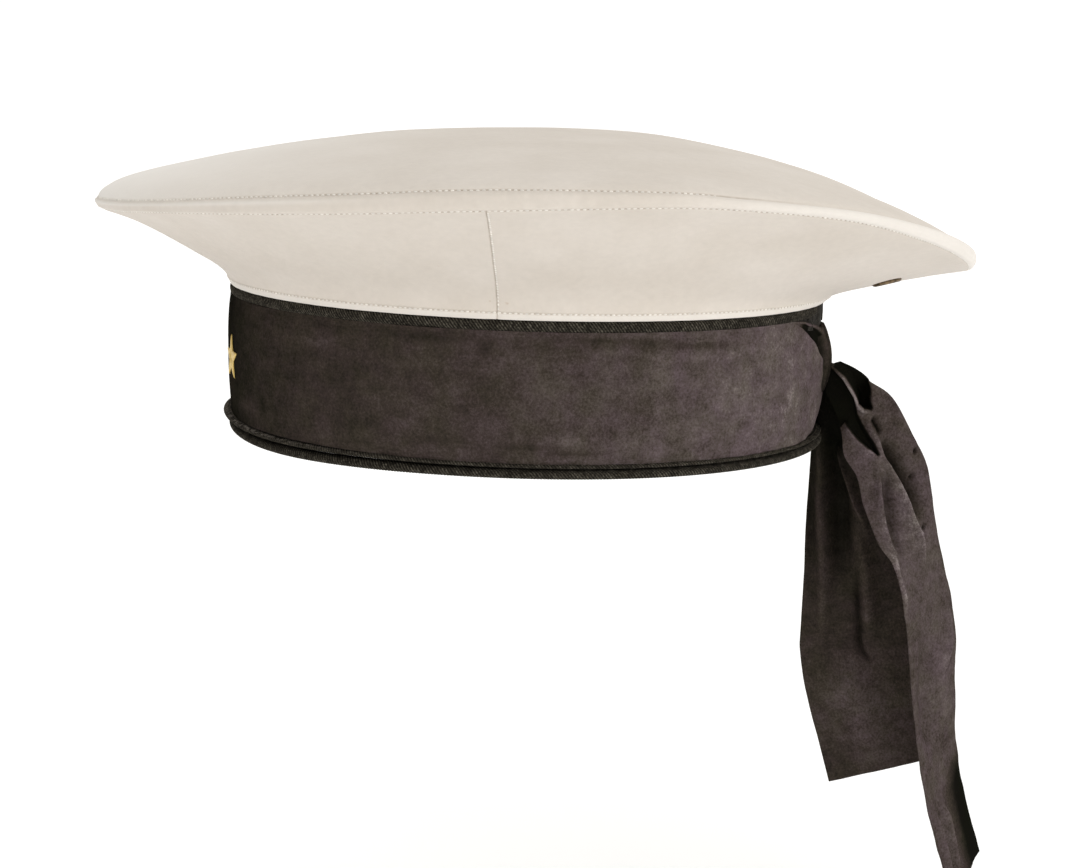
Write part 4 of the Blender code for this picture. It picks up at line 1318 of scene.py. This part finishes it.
def build_star(word, side, material):
    """A five-pointed star of satin stitch, lying on the ribbon's curve."""
    reach = STAR_HEIGHT / (1 + math.cos(math.pi / STAR_POINTS))
    turns = around(2 * STAR_POINTS)
    radii = np.tile((reach, reach * STAR_WAIST), STAR_POINTS)
    corners = np.stack((radii * np.sin(turns), radii * np.cos(turns)), -1)
    on_side = np.linspace(0, 1, 9)[:-1, None]
    outline = np.concatenate([here + (following - here) * on_side
                              for here, following in zip(corners, np.roll(corners, -1, 0))])
    points = len(outline)
    tip_share = np.abs(((np.arange(points) / 8) % 2) - 1)
    shares = np.linspace(0.0, 1.0, 9)
    flat = outline[None] * shares[:, None, None]
    lift = STAR_RELIEF * (0.35 + 0.65 * tip_share[None, :] * (1 - 0.55 * shares[:, None]))
    lift[-1] = 0.0
    lift[0] = STAR_RELIEF
    base = -QUARTER + side * (QUARTER - STAR_ANGLE)
    middle = (RIBBON_TOP + RIBBON_BOTTOM) / 2
    nearby = band_point(base + np.array((-0.005, 0.005)), RIBBON_SEAT, 0.0)
    radius = np.linalg.norm(nearby[1] - nearby[0]) / 0.01
    angle = base + flat[..., 0] / radius
    height = middle + flat[..., 1]
    crown = np.sin(math.pi * np.clip((height - RIBBON_BOTTOM) / RIBBON_WIDTH, 0, 1)) ** 0.8
    grid = band_point(angle, RIBBON_SEAT + RIBBON_BULGE * crown + 0.25 * MM + lift, height)
    star = grid_object("star_stitched_" + word, grid, wrap=True, pole=True, inside=(0, 0, middle))
    dress(thicken(star, 0.5 * MM), material, "gold_thread", "star_" + word)


def build_eyelet(word, side, material, dark):
    """A rolled vent eyelet set in the side cloth, with a dark disc behind it as the painted shade of the
    hole; the cloth is not cut.
    """
    angle = QUARTER - side * (QUARTER - EYELET_ANGLE)
    here, normal = surface_line(side_point, np.array([angle]), np.array([EYELET_UP]))
    normal = Vector(normal[0])
    if normal.z > 0:
        normal.negate()
    normal.x *= EYELET_TURN
    normal.normalize()
    spin = normal.to_track_quat("Z", "Y").to_matrix().to_4x4()
    place = Matrix.Translation(Vector(here[0])) @ spin
    turn = around(48)
    circle = np.stack((np.cos(turn), np.sin(turn), 0 * turn), -1)
    ring = (EYELET_RADIUS + EYELET_HOLE) / 2
    roll = around(14)[:, None, None]
    grid = circle * (ring + (EYELET_RADIUS - EYELET_HOLE) / 2 * np.cos(roll))
    grid[..., 2] = (EYELET_SEAT + EYELET_ROLL * np.sin(roll))[..., 0]
    eyelet = grid_object("vent_ring_" + word, grid, wrap=True, closed_rows=True)
    eyelet.data.transform(place)
    dress(eyelet, material, "dark_brass", "vent_eyelet_" + word)
    # Painted shade: a dark disc, not a cut, stands for the shaded hole
    shares = np.linspace(0.0, 1.0, 6)[:, None, None]
    disc = circle * shares * ring
    disc[..., 2] = (-HOLE_DIP * (1 - shares ** 2))[..., 0]
    hole = grid_object("vent_hole_" + word, disc, wrap=True, pole=True)
    hole.data.transform(place)
    dress(thicken(hole, 0.3 * MM, 0.0), dark, "dark_brass")


# Stage


def build_camera():
    """The camera at the photograph's place."""
    turn, pitch, roll = CAMERA_TURN, CAMERA_PITCH, CAMERA_ROLL
    right = Vector((-math.sin(turn), math.cos(turn), 0.0))
    back = Vector((math.cos(turn), math.sin(turn), 0.0))
    up = Vector((0.0, 0.0, 1.0))
    above = up * math.cos(pitch) - back * math.sin(pitch)
    rolled_right = right * math.cos(roll) + above * math.sin(roll)
    rolled_up = above * math.cos(roll) - right * math.sin(roll)
    backward = back * math.cos(pitch) + up * math.sin(pitch)
    lens = bpy.data.cameras.new("camera")
    lens.sensor_width = 36.0
    lens.lens = FOCAL_PIXELS / PHOTO_WIDTH * lens.sensor_width
    lens.clip_start = 0.01
    camera = add_object("camera", lens)
    place = Matrix((rolled_right, rolled_up, backward)).transposed().to_4x4()
    place.translation = back * CAMERA_DISTANCE + right * CAMERA_SIDE + up * CAMERA_HEIGHT
    camera.matrix_world = place
    bpy.context.scene.camera = camera


def add_area_light(name, place, target, size, power, colour=(1.0, 1.0, 1.0)):
    """A square soft light that looks at a target."""
    light = bpy.data.lights.new(name, "AREA")
    light.size = size
    light.energy = power
    light.color = colour
    lamp = add_object(name, light)
    lamp.location = place
    lamp.rotation_euler = (Vector(target) - Vector(place)).to_track_quat("-Z", "Y").to_euler()


def build_stage():
    """A pale floor well below the held cap, and soft white light from all round.

    The light is weaker from beyond the cap's front, where the studio has a dark side.
    """
    bpy.ops.mesh.primitive_plane_add(size=FLOOR_SIZE, location=(0.0, 0.0, -FLOOR_DROP))
    floor = bpy.context.object
    floor.name = "floor"
    material, tree = start_material("floor_paint", 0.9)
    finish_material(material, ramp(tree, noise_value(tree, 3.0), (0.3, grey(0.96)), (0.7, grey(0.98))))
    paint = tree.nodes["Principled BSDF"].inputs
    paint["Emission Color"].default_value = (1.0, 1.0, 1.0, 1.0)
    paint["Emission Strength"].default_value = FLOOR_GLOW
    floor.data.materials.append(material)
    world = bpy.data.worlds.new("studio")
    world.use_nodes = True
    tree = world.node_tree
    way = add_node(tree, "TexCoord").outputs["Generated"]
    to_rear = add_node(tree, "SeparateXYZ", Vector=way).outputs["Y"]
    brightness = add_node(tree, "MapRange", {"interpolation_type": "SMOOTHSTEP"}, Value=to_rear,
                          From_Min=-0.95, From_Max=-0.35, To_Min=0.25, To_Max=1.07)
    tree.links.new(brightness.outputs["Result"], tree.nodes["Background"].inputs["Strength"])
    tree.nodes["Background"].inputs["Color"].default_value = (1.0, 0.99, 0.965, 1.0)
    bpy.context.scene.world = world
    add_area_light("key", (0.75, 0.85, 0.35), (0.0, 0.05, 0.03), 0.6, 1.5, (0.92, 0.96, 1.0))
    add_area_light("reflector", (0.75, 0.1, -0.12), (0.0, 0.0, 0.06), 0.5, 0.2)


def build():
    """Build the cap's looks."""
    bpy.context.scene.view_settings.view_transform = "Standard"
    build_camera()
    build_stage()
    stained = [(tuple(side_point(spot.angle, spot.up)), spot.size * MM, spot.strength) for spot in STAINS]
    cotton = cotton_material("white_cotton_drill", stained)
    ribbon_cloth = ribbon_material("charcoal_taffeta")
    braid = braid_material("black_ribbed_braid")
    felt = felt_material("black_wool_cloth")
    thread = thread_material("white_thread", WHITE_THREAD, 0.8)
    gold = thread_material("gold_satin_thread", GOLD_THREAD, 0.42, 0.2)
    brass = brass_material("aged_brass")

    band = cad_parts["head_band"]
    band.data.materials.clear()
    band.data.materials.append(felt)

    top = build_top_cloth(cotton)
    sides = build_side_cloth(cotton)
    build_rim_roll(cotton)
    build_stitching(thread, top, sides)
    build_braids(braid, felt)
    build_ribbon(ribbon_cloth)
    build_knot(ribbon_cloth)
    build_tail("tail_short", SHORT_TAIL_ROWS, SHORT_TAIL_DROP, SHORT_CREASES, (), SHORT_SHADES,
               ribbon_cloth, "ribbon_tail_short")
    build_tail("tail_long", LONG_TAIL_ROWS, LONG_TAIL_DROP, LONG_CREASES, LONG_HOLLOWS, LONG_SHADES,
               ribbon_cloth, "ribbon_tail_long")
    for word, side in (("left", 1), ("right", -1)):
        build_star(word, side, gold)
        build_eyelet(word, side, brass, felt)


build()
